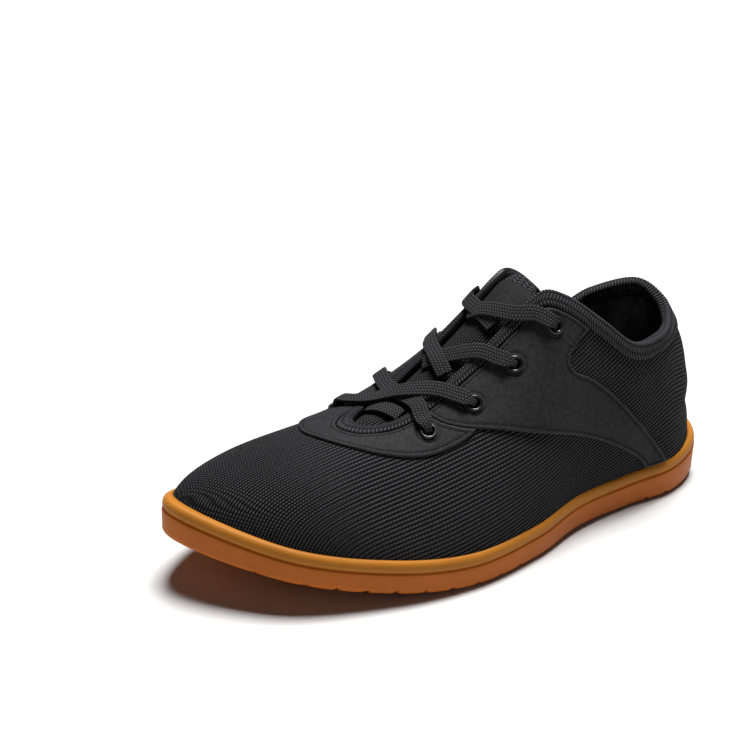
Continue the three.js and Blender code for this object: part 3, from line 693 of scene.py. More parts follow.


# gum_wall is a darker, redder copy of the same gum for the sole's lower wall and underside, standing in
# for the shade the wall lies in: painted shade.
gum_rim = rubber("gum_rim", (0.345, 0.122, 0.0115), (0.44, 0.165, 0.0165))
gum_wall = rubber("gum_wall", (0.385, 0.094, 0.009), (0.49, 0.133, 0.013))
# The knits' near-black first colours are the painted shade of the gaps between ribs and stitches.
knit = knit_cloth("knit", (0.0002, 0.0002, 0.0003), (0.06, 0.06, 0.0635), dotted=True)
tongue_knit = knit_cloth("tongue_knit", (0.0004, 0.0004, 0.0005), (0.055, 0.055, 0.058), 1.4)
# The lining's two colours carry the painted shade of its folds.
lining = folded("lining", (0.03, 0.03, 0.031), (0.2, 0.2, 0.205))
insole_cloth = grained(
    "insole_cloth", (0.005, 0.005, 0.0052), (0.02, 0.02, 0.0205), 0.9, 1500.0, 0.0001, 0.08
)
# The overlays' cloth gets a painted highlight along its rolled border and painted shade along its
# stitch line.
microfibre = edged("microfibre", (0.004, 0.004, 0.0044), (0.033, 0.033, 0.035))
patch_cloth = grained(
    "patch_cloth", (0.004, 0.004, 0.0044), (0.026, 0.026, 0.0275), 0.7, 2400.0, 0.00016, 0.12
)
# The binding's near-black first colour is the painted shade of the gaps between its stitches.
binding = woven(
    "binding", (0.0003, 0.0003, 0.0004), (0.07, 0.07, 0.074), BAND_COLUMNS, BAND_RIB, BAND_LEAN
)
piping = grained("piping", (0.003, 0.003, 0.0032), (0.012, 0.012, 0.013), 0.45, 1800.0, 0.00005, 0.3)
# The lace's near-black first colour is the painted shade of the gaps between its stitches.
lace_cloth = woven("lace", (0.0003, 0.0003, 0.0004), (0.062, 0.062, 0.065), 5.0, 1.35, 0.8)
thread = grained("thread", (0.004, 0.004, 0.0042), (0.024, 0.024, 0.025), 0.7, 3000.0, 0.00005, 0.15)
metal = black_metal("metal")


# How far the tread's grooves reach up where they come out at the sole's side.
EDGE_NOTCH = 2.8


def tread(points):
    """How far the tread's zigzag grooves reach up into the sole at some points."""
    x, y = points[..., 0], points[..., 1]
    reach = BALL_WIDTH * 0.6
    bend = 2 * reach / LUG_BENDS
    wave = np.abs(np.mod((x + reach) / bend, 2) - 1)
    distance = along_of(y + LUG_WAVE * (0.5 - wave)) * LENGTH
    number = np.round(distance / LUG_PITCH)
    apart = np.abs(distance - number * LUG_PITCH)
    along = number * LUG_PITCH / LENGTH
    inside = (number >= 1) & (number < math.floor(LENGTH / LUG_PITCH))
    arch = (along > ARCH_START - 0.02) & (along < ARCH_END - 0.02)
    depth = LUG_DEPTH * smooth(LUG_GROOVE / 2 + 0.35 - apart, 0, 0.7)
    return np.where(inside & ~arch, depth, 0)


def gum_sole():
    count, across, arc = 800, 64, 6
    at = np.linspace(0, ROWS_ROUND, count, endpoint=False)
    edge, out = outline_point(at)
    low, top = underside(edge[:, 1]), side_height(edge[:, 1])
    steps = []
    for k in range(arc + 1):
        turn = math.pi / 2 * k / arc
        inset = EDGE_ROUND * (1 - math.sin(turn)) + 0.2 * (k == arc)
        steps.append((inset, EDGE_ROUND * (1 - math.cos(turn))))
    head = top - RIM_BAND - GROOVE_DEPTH
    steps += [(0.1, EDGE_ROUND + (head - EDGE_ROUND) * share) for share in (0.3, 0.6)]
    seam = top - RIM_BAND
    steps += [(0.0, head - 0.5), (0.12, head), (0.5, head + 0.35), (GROOVE_DEPTH, seam - 0.15)]
    steps += [(GROOVE_DEPTH, seam + 0.15), (0.62, seam + 0.5), (0.35, seam + 0.9)]
    steps += [(0.3, seam + 1.6), (0.4, top - 2.6), (0.62, top - 1.7), (0.98, top - 1.0)]
    steps += [(1.45, top - 0.45), (1.95, top - 0.12), (2.4, top)]
    rings = []
    for k, (inset, up) in enumerate(steps):
        ring = edge - out * inset
        ring[:, 2] = (low if k else underside(ring[:, 1])) + up
        notch = EDGE_NOTCH if 0 < k < arc else LUG_DEPTH
        ring[:, 2] = np.maximum(ring[:, 2], underside(ring[:, 1]) + tread(ring) * notch / LUG_DEPTH)
        rings.append(ring)
    share = rim_share(at)
    for part in (1.0, 0.75, 0.5, 0.25, 0.0):
        ring, _ = skin(at, share * part, 0.15)
        if part == 0:
            ring[:, 2] = footbed(ring[:, 1])
        rings.append(ring)
    points = [np.concatenate(rings)]
    faces = []
    k = np.arange(count)
    n = (k + 1) % count
    for ring in range(len(rings) - 1):
        a, b = ring * count, (ring + 1) * count
        faces.append(np.stack([a + k, b + k, b + n, a + n], 1))
    # The lower wall up into the groove takes gum_wall, the gum's painted-shade copy, and so does the
    # underside lid below.
    slots = [1] * 12 + [0] * (len(faces) - 12)
    total = len(points[0])
    lids = ((0, underside, False, True), (len(rings) - 1, footbed, True, False))
    for ring, surface, flip, grooved in lids:
        border = rings[ring]
        half = count // 2
        i = np.arange(half + 1)
        right, left = ring * count + i, ring * count + (count - i) % count
        j = np.arange(1, across)
        share_across = (j / across)[None, :, None]
        near, far = border[i][:, None], border[(count - i) % count][:, None]
        inside = near * (1 - share_across) + far * share_across
        inside[..., 2] = surface(inside[..., 1]) + (tread(inside) if grooved else 0)
        points.append(inside.reshape(-1, 3))
        index = np.concatenate(
            [right[:, None], total + (i * (across - 1))[:, None] + j[None] - 1, left[:, None]], 1
        )
        total += inside.shape[0] * inside.shape[1]
        cells = np.stack([index[:-1, :-1], index[1:, :-1], index[1:, 1:], index[:-1, 1:]], -1)
        cells = cells.reshape(-1, 4)
        faces.append(cells[:, ::-1] if flip else cells)
        slots.append(1 if grooved else 0)
    return add_piece(
        "gum_sole", np.concatenate(points), [f[:, ::-1] for f in faces], [gum_rim, gum_wall],
        slots=slots, replaces=["outsole"],
    )


def near_eyelets(points, radius):
    """How far points lie outside every eyelet's hole, measured square to its axis."""
    apart = np.full(points.shape[:-1], 1e9)
    for eyelet in eyelets:
        off = points - eyelet["point"]
        off = off - (off @ eyelet["out"])[..., None] * eyelet["out"]
        near = np.linalg.norm(points - eyelet["point"], axis=-1) < 12
        reach = np.where(near, np.linalg.norm(off, axis=-1), 1e9)
        apart = np.minimum(apart, reach - radius)
    return apart


def make_eyelets():
    made = []
    for side, pair, at, high in EYELETS:
        point, out = skin(at, high)
        made.append(
            {"side": side, "pair": pair, "at": at, "high": high, "point": point, "out": out}
        )
    return made


eyelets = make_eyelets()


def spread(values, ways):
    """Solves for a field on a grid whose steps follow a wanted slope, by conjugate gradients."""
    row_steps, column_steps = ways

    def fold(field):
        total = np.zeros_like(field)
        down, side = np.diff(field, axis=0), np.diff(field, axis=1)
        total[1:] += down
        total[:-1] -= down
        total[:, 1:] += side
        total[:, :-1] -= side
        return total

    goal = np.zeros_like(values)
    goal[1:] += row_steps
    goal[:-1] -= row_steps
    goal[:, 1:] += column_steps
    goal[:, :-1] -= column_steps
    field = values.copy()
    rest = goal - fold(field)
    way = rest.copy()
    power = (rest * rest).sum()
    for _ in range(1200):
        folded = fold(way)
        step = power / (way * folded).sum()
        field += step * way
        rest -= step * folded
        fresh = (rest * rest).sum()
        if fresh < 1e-6:
            break
        way = rest + fresh / power * way
        power = fresh
    return field


def rib_ways(points, out, at):
    """The way of the knit's ribs on the surface: along the shoe, rising toward the heel."""
    along = along_of(points[..., 1])
    up = points[..., 2] / HEEL_HEIGHT
    sideways = np.stack([-out[..., 1], out[..., 0], 0 * up], -1)
    sideways = sideways * np.where(at < ROWS_ROUND / 2, 1.0, -1.0)[..., None]
    forward = np.zeros_like(out)
    forward[..., 1] = 1.0
    wrap = (1 - smooth(along, 0.1, 0.26))[..., None]
    way = forward * (1 - wrap) + unit(sideways) * wrap
    rise = 17 * (1 - smooth(along, 0.62, 0.8)) * smooth(along, 0.05, 0.3)
    rise = rise + 42 * np.exp(-(((along - 0.27) / 0.13) ** 2)) * smooth(up, 0.25, 0.75)
    way[..., 2] += np.tan(np.radians(rise)) * np.clip(1 - np.abs(out[..., 2]), 0.2, 1)
    way = unit(way - (way * out).sum(-1, keepdims=True) * out)
    # Round the toe the ribs lie in planes that lean outward, so they run straight into the rim.
    lean = np.clip((points[..., 0] + 6) / 16, -1, 1)
    planes = np.stack([np.ones_like(lean), np.zeros_like(lean), -lean], -1)
    ahead = smooth(along, 0.58, 0.76)[..., None]
    return unit(way * (1 - ahead) + unit(np.cross(out, planes)) * ahead)


def slope(points, field):
    """How a field on a grid of surface points rises, as vectors along the surface."""
    down, side = np.gradient(points, axis=0), np.gradient(points, axis=1)
    rise_down, rise_side = np.gradient(field, axis=0), np.gradient(field, axis=1)
    a, b, c = (down * down).sum(-1), (down * side).sum(-1), (side * side).sum(-1)
    apart = a * c - b * b + 1e-9
    first, second = (c * rise_down - b * rise_side) / apart, (a * rise_side - b * rise_down) / apart
    return first[..., None] * down + second[..., None] * side


def knit_map(columns, at, high):
    """The knit's own map in millimetres: first along the ribs, then across them."""
    points, out = skin(at, high)
    way = rib_ways(points, out, at)
    way[-1] = rib_ways(points[-1:], out[-1:], np.full((1, columns), ROWS_ROUND - 0.01))[0]
    cross = np.cross(out, way)

    def steps(field):
        down = ((field[1:] + field[:-1]) / 2 * np.diff(points, axis=0)).sum(-1)
        side = ((field[:, 1:] + field[:, :-1]) / 2 * np.diff(points, axis=1)).sum(-1)
        return down, side

    start = np.zeros(points.shape[:2])
    across = spread(start, steps(cross))
    # The ribs' spacing is made even step by step, and their way gives in to it.
    for _ in range(6):
        evened = unit(unit(slope(points, across)) * 0.8 + unit(cross) * 0.2)
        across = spread(across, steps(evened))
    ribs = np.cross(unit(slope(points, across)), out)
    along = spread(start, steps(ribs))
    for _ in range(3):
        evened = unit(unit(slope(points, along)) * 0.6 + unit(ribs) * 0.4)
        along = spread(along, steps(evened))
    return np.stack([along, across], -1)


def knit_upper():
    rows, columns = 480, 96
    at, high = ring_grid(rows, np.linspace(0, 1, columns))
    outer, _ = skin(at, high)
    inner, _ = skin(at, high, -wall_thickness(at, high))
    center = (outer[:-1, :-1] + outer[1:, 1:]) / 2
    keep = near_eyelets(center, EYELET_HOLE + EYELET_BARREL + 0.9) > 0
    faces = grid_faces(rows + 1, columns, keep)
    welded = round_weld(rows + 1, columns)
    solved = knit_map(columns, at[::2], high[::2])
    uv = np.empty((rows + 1, columns, 2))
    uv[::2] = solved
    uv[1::2] = (solved[1:] + solved[:-1]) / 2
    return thicken(
        "knit_upper", outer, inner, faces, [knit, lining], uv=uv, welded=welded,
        slots=(0, 1, 1), replaces=["upper"],
    )


def insole_bed():
    at = np.linspace(0, ROWS_ROUND, 241)[:-1]
    ring, _ = skin(at, 0.0, -UPPER_WALL - 2 * GAP)
    half = 120
    i = np.arange(half + 1)
    across = np.linspace(0, 1, 25)[None, :, None]
    sheet = ring[i][:, None] * (1 - across) + ring[(240 - i) % 240][:, None] * across
    sheet[..., 2] = footbed(sheet[..., 1]) + GAP
    raised = sheet.copy()
    raised[..., 2] += INSOLE_THICK
    return thicken(
        "insole_bed", raised, sheet, grid_faces(half + 1, 25), [insole_cloth], replaces=["insole"]
    )


def opening_binding():
    rows = 1400
    at = np.linspace(0, ROWS_ROUND, rows + 1)
    at[-1] = 0
    edge, out = skin(at, 1.0, 0.0)
    below, _ = skin(at, 0.985, 0.0)
    rise = unit(edge - below)
    thick = wall_thickness(at, np.ones(at.shape))
    outer, inner = [], []
    distances = BAND_WIDTH - GAP - (BAND_WIDTH - GAP) * np.linspace(0, 1, 9)
    # Inside the throat, where the tongue lies close under it, the folded edge is thin.
    throat = smooth(np.minimum(at, ROWS_ROUND - at), 4, 5)
    for distance in distances:
        share = edge_share(at, distance) if distance > 0 else np.ones(at.shape)
        close = 1 - min(1.0, (BAND_WIDTH - GAP - distance) / 1.5)
        swell = BAND_THICK * math.sqrt(max(0.0, 1 - close**2))
        point, way = skin(at, share)
        outer.append(point + way * (GAP + 0.05 + swell))
        inner.append(point + way * GAP)
    for turn in np.linspace(0, math.pi, 7)[1:-1]:
        center = edge - out * (thick / 2)[:, None]
        swell = BAND_THICK * (1 - 0.95 * throat * smooth(turn / math.pi, 0.3, 0.7))
        for group, radius in ((outer, thick / 2 + GAP + swell), (inner, thick / 2 + GAP)):
            aside, beyond = radius * math.cos(turn), radius * 0.7 * math.sin(turn)
            group.append(center + out * aside[:, None] + rise * beyond[:, None])
    for distance in (0.0, 2.0, 4.0, 6.0, 7.2, 7.6):
        share = edge_share(at, distance) if distance > 0 else np.ones(at.shape)
        swell = BAND_THICK * (0.9 if distance < 7 else 0.5 if distance < 7.5 else 0.05)
        swell = swell * (1 - 0.86 * throat)
        point, way = skin(at, share)
        depth = wall_thickness(at, share)
        outer.append(point - way * (depth + GAP + swell)[:, None])
        inner.append(point - way * (depth + GAP)[:, None])
    outer, inner = np.stack(outer, 1), np.stack(inner, 1)
    columns = outer.shape[1]
    run = np.concatenate([[0], np.cumsum(np.linalg.norm(np.diff(edge, axis=0), axis=1))])
    run = run * (round(run[-1] / BAND_RIB) * BAND_RIB / run[-1])
    steps = np.linalg.norm(np.diff(outer, axis=1), axis=-1).mean(0)
    across = np.concatenate([[0], np.cumsum(steps)])
    uv = np.stack(np.broadcast_arrays(run[:, None], across[None]), -1)
    swell = outer - inner
    place = np.arange(rows + 1)[:, None] * ROWS_ROUND / rows
    smooth_side = (smooth(place, 9.2, 9.8) * (1 - smooth(place, 13.3, 13.6)))[..., None]
    smooth_side = smooth_side * (np.arange(columns) > 8)[None, :, None]
    part, number = np.modf(BAND_COLUMNS * uv[..., 1:])
    lean = BAND_LEAN * part * (2 * np.mod(number, 2) - 1)
    wave = np.sin(2 * math.pi * (uv[..., :1] + lean) / BAND_RIB - math.pi / 2)
    outer = inner + swell * (1 + 0.14 * wave * (1 - smooth_side))
    faces = grid_faces(rows + 1, columns)
    piece = thicken(
        "opening_binding", outer, inner, faces, [binding, piping], uv=uv,
        welded=round_weld(rows + 1, columns), slots=(0, 1, 0), replaces=["opening_band"],
    )
    index = np.zeros(len(piece.data.polygons), np.int32)
    index[:len(faces)] = smooth_side[..., 0].ravel()[faces[:, 0]] > 0.5
    piece.data.polygons.foreach_set("material_index", index)
    return piece


def curve_part(p, t):
    """Places on a centripetal Catmull-Rom curve between the middle two of four points."""
    gaps = [max(np.linalg.norm(p[n + 1] - p[n]) ** 0.5, 1e-4) for n in range(3)]
    first = (p[1] - p[0]) / gaps[0] - (p[2] - p[0]) / (gaps[0] + gaps[1]) + (p[2] - p[1]) / gaps[1]
    second = (p[2] - p[1]) / gaps[1] - (p[3] - p[1]) / (gaps[1] + gaps[2]) + (p[3] - p[2]) / gaps[2]
    first, second = first * gaps[1], second * gaps[1]
    t = t[:, None]
    return (
        (2 * t**3 - 3 * t**2 + 1) * p[1] + (t**3 - 2 * t**2 + t) * first
        + (3 * t**2 - 2 * t**3) * p[2] + (t**3 - t**2) * second
    )


def smooth_polygon(points):
    """A closed smooth curve through points, six places for each."""
    around = [np.roll(points, 1 - n, axis=0) for n in range(4)]
    t = np.linspace(0, 1, 7)[:-1]
    return np.concatenate([curve_part(p, t) for p in zip(*around)])


def inside_distance(flat, polygon):
    """Signed distance of flat points to a polygon, positive inside, and its direction."""
    shape = flat.shape[:-1]
    flat = flat.reshape(-1, 2)
    best = np.full(len(flat), 1e9)
    way = np.zeros((len(flat), 2))
    inside = np.zeros(len(flat), bool)
    for a, b in zip(polygon, np.roll(polygon, -1, axis=0)):
        line = b - a
        t = np.clip(((flat - a) @ line) / (line @ line), 0, 1)
        off = flat - (a + t[:, None] * line)
        apart = np.linalg.norm(off, axis=1)
        closer = apart < best
        best = np.where(closer, apart, best)
        way = np.where(closer[:, None], off, way)
        crosses = (a[1] > flat[:, 1]) != (b[1] > flat[:, 1])
        meet = a[0] + (flat[:, 1] - a[1]) * (b[0] - a[0]) / (b[1] - a[1] if b[1] != a[1] else 1e-9)
        inside ^= crosses & (flat[:, 0] < meet)
    sign = np.where(inside, 1.0, -1.0)
    return (sign * best).reshape(shape), unit(way).reshape(*shape, 2)


def on_surface(distance, way, out):
    """A distance measured in projection, turned into one along the surface."""
    lean = (way * out).sum(-1)
    return distance / np.sqrt(np.maximum(1 - lean**2, 0.06))


QUARTER_POLYGON = smooth_polygon(
    np.stack([y_of(QUARTER_OUTLINE.columns["along"]), QUARTER_OUTLINE.columns["up"] * INSTEP_HEIGHT], 1)
)
VAMP_POLYGON = smooth_polygon(
    np.stack([VAMP_OUTLINE.columns["across"] * BALL_WIDTH, y_of(VAMP_OUTLINE.columns["along"])], 1)
)


def quarter_field(points, out, side):
    distance, way = inside_distance(points[..., 1:3], QUARTER_POLYGON)
    full = np.concatenate([np.zeros((*way.shape[:-1], 1)), way], -1)
    return np.where(points[..., 0] * side > 0, on_surface(distance, full, out), -1e3)


def vamp_field(points, out):
    distance, way = inside_distance(points[..., 0:2], VAMP_POLYGON)
    full = np.concatenate([way, np.zeros((*way.shape[:-1], 1))], -1)
    return on_surface(distance, full, out)


def overlay_grids():
    """The wall from rim to band as a fine grid, with how far inside its borders each point lies."""
    rows, columns = 1080, 150
    at = np.linspace(0, ROWS_ROUND, rows + 1)
    low, top = rim_share(at, 2 * GAP), edge_share(at, BAND_WIDTH + GAP)
    share = np.linspace(0, 1, columns)[None]
    high = low[:, None] * (1 - share) + top[:, None] * share
    at = np.repeat(at[:, None], columns, 1)
    points, out = skin(at, high)
    middle = np.linalg.norm(np.diff(points, axis=1), axis=-1)
    run = np.concatenate([np.zeros((rows + 1, 1)), np.cumsum(middle, 1)], 1)
    border = np.minimum(run, run[:, -1:] - run)
    return at, high, points, out, border


def clipped(at, high, field):
    """Triangles of a grid where its field is positive, cut off along the line where it is zero."""
    rows, columns = field.shape
    a, b, c = at.ravel(), high.ravel(), field.ravel()
    quads = grid_faces(rows, columns)
    quads = quads[(c[quads] > 0).any(1)]
    triangles = np.concatenate([quads[:, [0, 1, 2]], quads[:, [0, 2, 3]]])
    values = c[triangles] > 0
    count = values.sum(1)
    whole = triangles[count == 3]
    extra_at, extra_high, cut = [], [], {}
    total = len(a)

    def between(p, q):
        key = (p, q) if p < q else (q, p)
        if key not in cut:
            t = c[key[0]] / (c[key[0]] - c[key[1]])
            t = min(max(t, 0.02), 0.98)
            extra_at.append(a[key[0]] * (1 - t) + a[key[1]] * t)
            extra_high.append(b[key[0]] * (1 - t) + b[key[1]] * t)
            cut[key] = total + len(extra_at) - 1
        return cut[key]

    added = []
    crossed = (count > 0) & (count < 3)
    for corners, flags in zip(triangles[crossed].tolist(), values[crossed].tolist()):
        k = flags.index(True) if sum(flags) == 1 else flags.index(False)
        p, q, r = corners[k], corners[(k + 1) % 3], corners[(k + 2) % 3]
        pq, pr = between(p, q), between(p, r)
        if sum(flags) == 1:
            added.append((p, pq, pr))
        else:
            added.append((pq, q, r))
            added.append((pq, r, pr))
    faces = np.concatenate([whole, np.array(added, int).reshape(-1, 3)])
    at_all = np.concatenate([a, extra_at])
    high_all = np.concatenate([b, extra_high])
    field_all = np.concatenate([c, np.zeros(len(extra_at))])
    used, fresh = np.unique(faces.ravel(), return_inverse=True)
    return at_all[used], high_all[used], field_all[used], fresh.reshape(-1, 3)


def overlay_lift(field):
    """How thick an overlay is at a distance inside its border: a rolled edge and a stitched line."""
    edge = np.clip(field, 0, 0.55) / 0.55
    lift = OVERLAY_THICK * (0.6 + 0.4 * np.sqrt(1 - (1 - edge) ** 2))
    lift = lift + 0.14 * np.exp(-(((field - 0.95) / 0.5) ** 2))
    return lift - 0.32 * np.exp(-(((field - STITCH_INSET) / 0.42) ** 2))


def border_lines(at, high, field, level):
    """Lines of a grid along which its field has a level, as chains of places."""
    values = field.ravel() - level
    quads = grid_faces(*field.shape)
    flags = values[quads] > 0
    quads = quads[flags.any(1) & ~flags.all(1)]
    ends, links = {}, {}
    for corners in np.concatenate([quads[:, [0, 1, 2]], quads[:, [0, 2, 3]]]).tolist():
        cuts = []
        for p, q in ((0, 1), (1, 2), (2, 0)):
            p, q = sorted((corners[p], corners[q]))
            if (values[p] > 0) != (values[q] > 0):
                share = values[p] / (values[p] - values[q])
                ends[p, q] = [
                    grid.flat[p] * (1 - share) + grid.flat[q] * share for grid in (at, high)
                ]
                cuts.append((p, q))
        if len(cuts) == 2:
            links.setdefault(cuts[0], []).append(cuts[1])
            links.setdefault(cuts[1], []).append(cuts[0])
    chains = []
    while links:
        start = next((key for key, near in links.items() if len(near) == 1), next(iter(links)))
        chain, key = [], start
        while key is not None:
            chain.append(ends[key])
            near = links.pop(key)
            following = [other for other in near if other in links]
            key = following[0] if following else None
        chains.append(np.array(chain))
    return chains


def stitch_row(name, chains, height, keep):
    """Short rounded stitches along chains of places on the upper."""
    length, pitch, radius, sides = 1.75, 2.5, 0.27, 6
    shape = [(-0.5, 0.05), (-0.38, 0.8), (0.0, 1.0), (0.38, 0.8), (0.5, 0.05)]
    angles = np.linspace(0, 2 * math.pi, sides, endpoint=False)
    points, faces = [], []
    for chain in chains:
        path, out = skin(chain[:, 0], chain[:, 1], height)
        run = np.concatenate([[0], np.cumsum(np.linalg.norm(np.diff(path, axis=0), axis=1))])
        for place in np.arange(pitch / 2, run[-1] - pitch / 2, pitch):
            ends = [
                np.array([np.interp(place + d, run, path[:, k]) for k in range(3)])
                for d in (-0.6, 0.6)
            ]
            middle = (ends[0] + ends[1]) / 2
            if not keep(middle):
                continue
            ahead = unit(ends[1] - ends[0])
            up = unit(np.array([np.interp(place, run, out[:, k]) for k in range(3)]))
            aside = np.cross(up, ahead)
            first = sum(len(group) for group in points)
            for share, swell in shape:
                center = middle + ahead * share * length + up * (0.12 * swell)
                ring = np.cos(angles)[:, None] * aside + np.sin(angles)[:, None] * up
                points.append(center + ring * radius * swell)
            for ring in range(len(shape) - 1):
                for k in range(sides):
                    n = (k + 1) % sides
                    a, b = first + ring * sides, first + (ring + 1) * sides
                    faces.append((a + k, b + k, b + n, a + n))
            for ring, flip in ((0, 1), (len(shape) - 1, -1)):
                base = first + ring * sides
                lid = [(base, base + k, base + k + 1) for k in range(1, sides - 1)]
                faces.extend((*corners[::flip], corners[::flip][-1]) for corners in lid)
    quads = [face for face in faces if len(set(face)) == 4]
    triangles = [face[:3] for face in faces if len(set(face)) == 3]
    return add_piece(name, np.concatenate(points), [np.array(quads), np.array(triangles)], [thread])


def overlay(name, at, high, field):
    a, b, f, faces = clipped(at, high, field)
    chains = border_lines(at, high, field, STITCH_INSET)
    stitch_row(
        f"stitches_{name}", chains, GAP + OVERLAY_THICK - 0.25,
        lambda place: near_eyelets(place, EYELET_RADIUS + 2.2) > 0 and place[2] > rim_height(place) + 3,
    )
    outer, _ = skin(a, b, GAP + overlay_lift(f))
    inner, _ = skin(a, b, np.full(a.shape, GAP))
    uv = np.stack([f, b], -1)
    return thicken(name, outer, inner, faces, [microfibre], uv=uv, replaces=[name])


def overlays():
    at, high, points, out, border = overlay_grids()
    hole = near_eyelets(points, EYELET_HOLE + EYELET_BARREL + GAP)
    base = np.minimum(border + 1e-3, hole)
    outer, inner = quarter_field(points, out, 1), quarter_field(points, out, -1)
    vamp = vamp_field(points, out)
    overlay("quarter_overlay_outer", at, high, np.minimum(base, outer))
    overlay("quarter_overlay_inner", at, high, np.minimum(base, inner))
    vamp = np.minimum(vamp, np.minimum(-outer, -inner) - GAP)
    overlay("vamp_overlay", at, high, np.minimum(base, vamp))


TONGUE_PATCH = 20.0
TONGUE_EDGE = 5.0
outer_row = TONGUE_ROWS.curve("row", "outer")
inner_row = TONGUE_ROWS.curve("row", "inner")


def tongue_grid(lift, rows=60, arch=36, tuck=10):
    row = np.linspace(0, 8, rows)
    sides = []
    for places in (outer_row(row), inner_row(row)):
        seats = []
        for distance in np.linspace(TONGUE_TUCK, 0, tuck + 1):
            share = edge_share(places, distance) if distance > 0 else np.ones(places.shape)
            seats.append(skin(places, share, -UPPER_WALL - TONGUE_GAP - lift))
        sides.append(seats)
    start, end = sides[0][-1], sides[1][-1]
    out = unit(start[1] + end[1])
    gap = np.linalg.norm(start[0] - end[0], axis=-1)
    columns = [point for point, _ in sides[0]]
    for share in np.linspace(0, 1, arch + 1)[1:-1]:
        height = TONGUE_CROWN * 4 * share * (1 - share) * np.minimum(1, gap / TONGUE_TUCK)
        columns.append(start[0] * (1 - share) + end[0] * share + out * height[:, None])
    columns += [point for point, _ in reversed(sides[1])]
    grid = np.stack(columns, 1)
    middle = grid.shape[1] // 2
    ahead = unit(grid[-1, middle] - grid[-2, middle])
    round_off = 1 - (np.linspace(-1, 1, grid.shape[1])) ** 4
    rows_more = []
    for share in np.linspace(0, 1, 13)[1:]:
        narrow = 1 - (1 - TONGUE_TOP_WIDTH) * share
        moved = grid[-1, middle] * (1 - narrow) + grid[-1] * narrow
        rows_more.append(moved + ahead * (TONGUE_RISE * share * round_off)[:, None])
    return np.concatenate([grid, np.stack(rows_more)], 0)


def tongue():
    outer, inner = tongue_grid(0.0), tongue_grid(TONGUE_THICK)
    rows, columns = outer.shape[:2]
    keep = np.ones((rows - 1, columns - 1), bool)
    keep[0] = False
    middle = columns // 2
    run = np.linalg.norm(np.diff(outer[:, middle], axis=0, prepend=outer[:1, middle]), axis=1).cumsum()
    across = np.linalg.norm(np.diff(outer, axis=1, prepend=outer[:, :1]), axis=-1).cumsum(axis=1)
    across = across - across[:, middle:middle + 1]
    uv = np.stack([np.broadcast_to(run[:, None], across.shape), across], -1)
    faces = grid_faces(rows, columns, keep)
    piece = thicken(
        "tongue", outer, inner, faces, [tongue_knit, patch_cloth, binding], uv=uv, replaces=["tongue"]
    )
    patch = np.zeros(len(piece.data.polygons), np.int32)
    left = run[-1] - run[(faces // columns).min(1)]
    patch[:len(faces)] = np.where(left < TONGUE_EDGE, 2, left < TONGUE_PATCH)
    piece.data.polygons.foreach_set("material_index", patch)
    return piece


def turned(profile, sides, point, out):
    """A ring turned from a closed profile of radius and height about an axis."""
    profile = np.asarray(profile, float)
    aside = unit(np.cross(out, np.array([0.0, 0.0, 1.0])))
    other = np.cross(out, aside)
    angle = np.linspace(0, 2 * np.pi, sides, endpoint=False)
    around = np.cos(angle)[:, None] * aside + np.sin(angle)[:, None] * other
    grid = point + around[:, None] * profile[None, :, :1] + out * profile[None, :, 1:]
    count = len(profile)
    i, j = np.meshgrid(np.arange(sides), np.arange(count), indexing="ij")
    n, m = (i + 1) % sides, (j + 1) % count
    faces = np.stack([i * count + j, n * count + j, n * count + m, i * count + m], -1).reshape(-1, 4)
    return grid.reshape(-1, 3), faces


def eyelet_rings():
    seat = 2 * GAP + OVERLAY_THICK
    barrel = EYELET_HOLE + EYELET_BARREL
    profile = [(EYELET_HOLE, -UPPER_WALL), (barrel, -UPPER_WALL), (barrel, seat)]
    profile.append((EYELET_RADIUS - 0.1, seat))
    bead = (EYELET_HOLE + EYELET_RADIUS) / 2
    reach = (EYELET_RADIUS - EYELET_HOLE) / 2
    for turn in np.linspace(0, math.pi, 9):
        up = seat + 0.1 + (EYELET_FLANGE - 0.1) * math.sin(turn)
        profile.append((bead + reach * math.cos(turn), up))
    for eyelet in eyelets:
        points, faces = turned(profile, 48, eyelet["point"], eyelet["out"])
        name = f"eyelet_{eyelet['side']}_{eyelet['pair']}"
        add_piece(name, points, [faces], [metal], replaces=[name])


gum_sole()
insole_bed()
knit_upper()
opening_binding()
overlays()
tongue()
eyelet_rings()


# Crossings of the lace: the lower pair, the side that the upper bar comes from, whether the bars
# start over the tongue beside the facings instead of in the eyelets, and the wall lines where the
# upper and the lower bar meet the facings' edges.
CROSSINGS = (
    (1, "inner", False, (10.55, 6.66), (6.99, 10.97)),
    (2, "outer", True, (6.49, 11.78), (11.45, 6.01)),
    (3, "inner", True, (12.31, 5.4), (5.68, 12.49)),
)
# The wall lines of the facings' edges that the straight bar below the crossings runs between.
START_BAR = (7.3, 10.4)
LACE_CLEAR = 0.7
LACE_ARCH = 1.5
LACE_JOIN = 0.2
LACE_START = 0.15
# A bar's end over and in its eyelet: the rise over the bead, the turn down, how far from the end it
# starts to narrow and is narrow, and its width and thickness there.
DIVE_BACK = 3.6
DIVE_RISE = 4.0
DIVE_TURN = 0.1
DIVE_DEPTH = 1.9
NARROW_FROM = 9.5
NARROW_AT = 4.6
NARROW_WIDTH = 3.5
NARROW_THICK = 2.0


def eyelet_at(side, pair):
    return next(one for one in eyelets if one["side"] == side and one["pair"] == pair)


def lace_seat(place, out, height):
    return place + out * (height + LACE_CLEAR + LACE_THICK / 2), out


def tongue_top(share):
    """The tongue's top over the line between the facings' edges, at a share of the way across."""
    return TONGUE_CROWN * 4 * share * (1 - share) - UPPER_WALL - TONGUE_GAP


def over_throat(first, last):
    """Lace places over the throat between two wall lines: share of the way, and height."""
    (near, near_out), (far, far_out) = skin(first, 1.0), skin(last, 1.0)
    out = unit(near_out + far_out)
    return lambda share, height: lace_seat(near * (1 - share) + far * share, out, height)


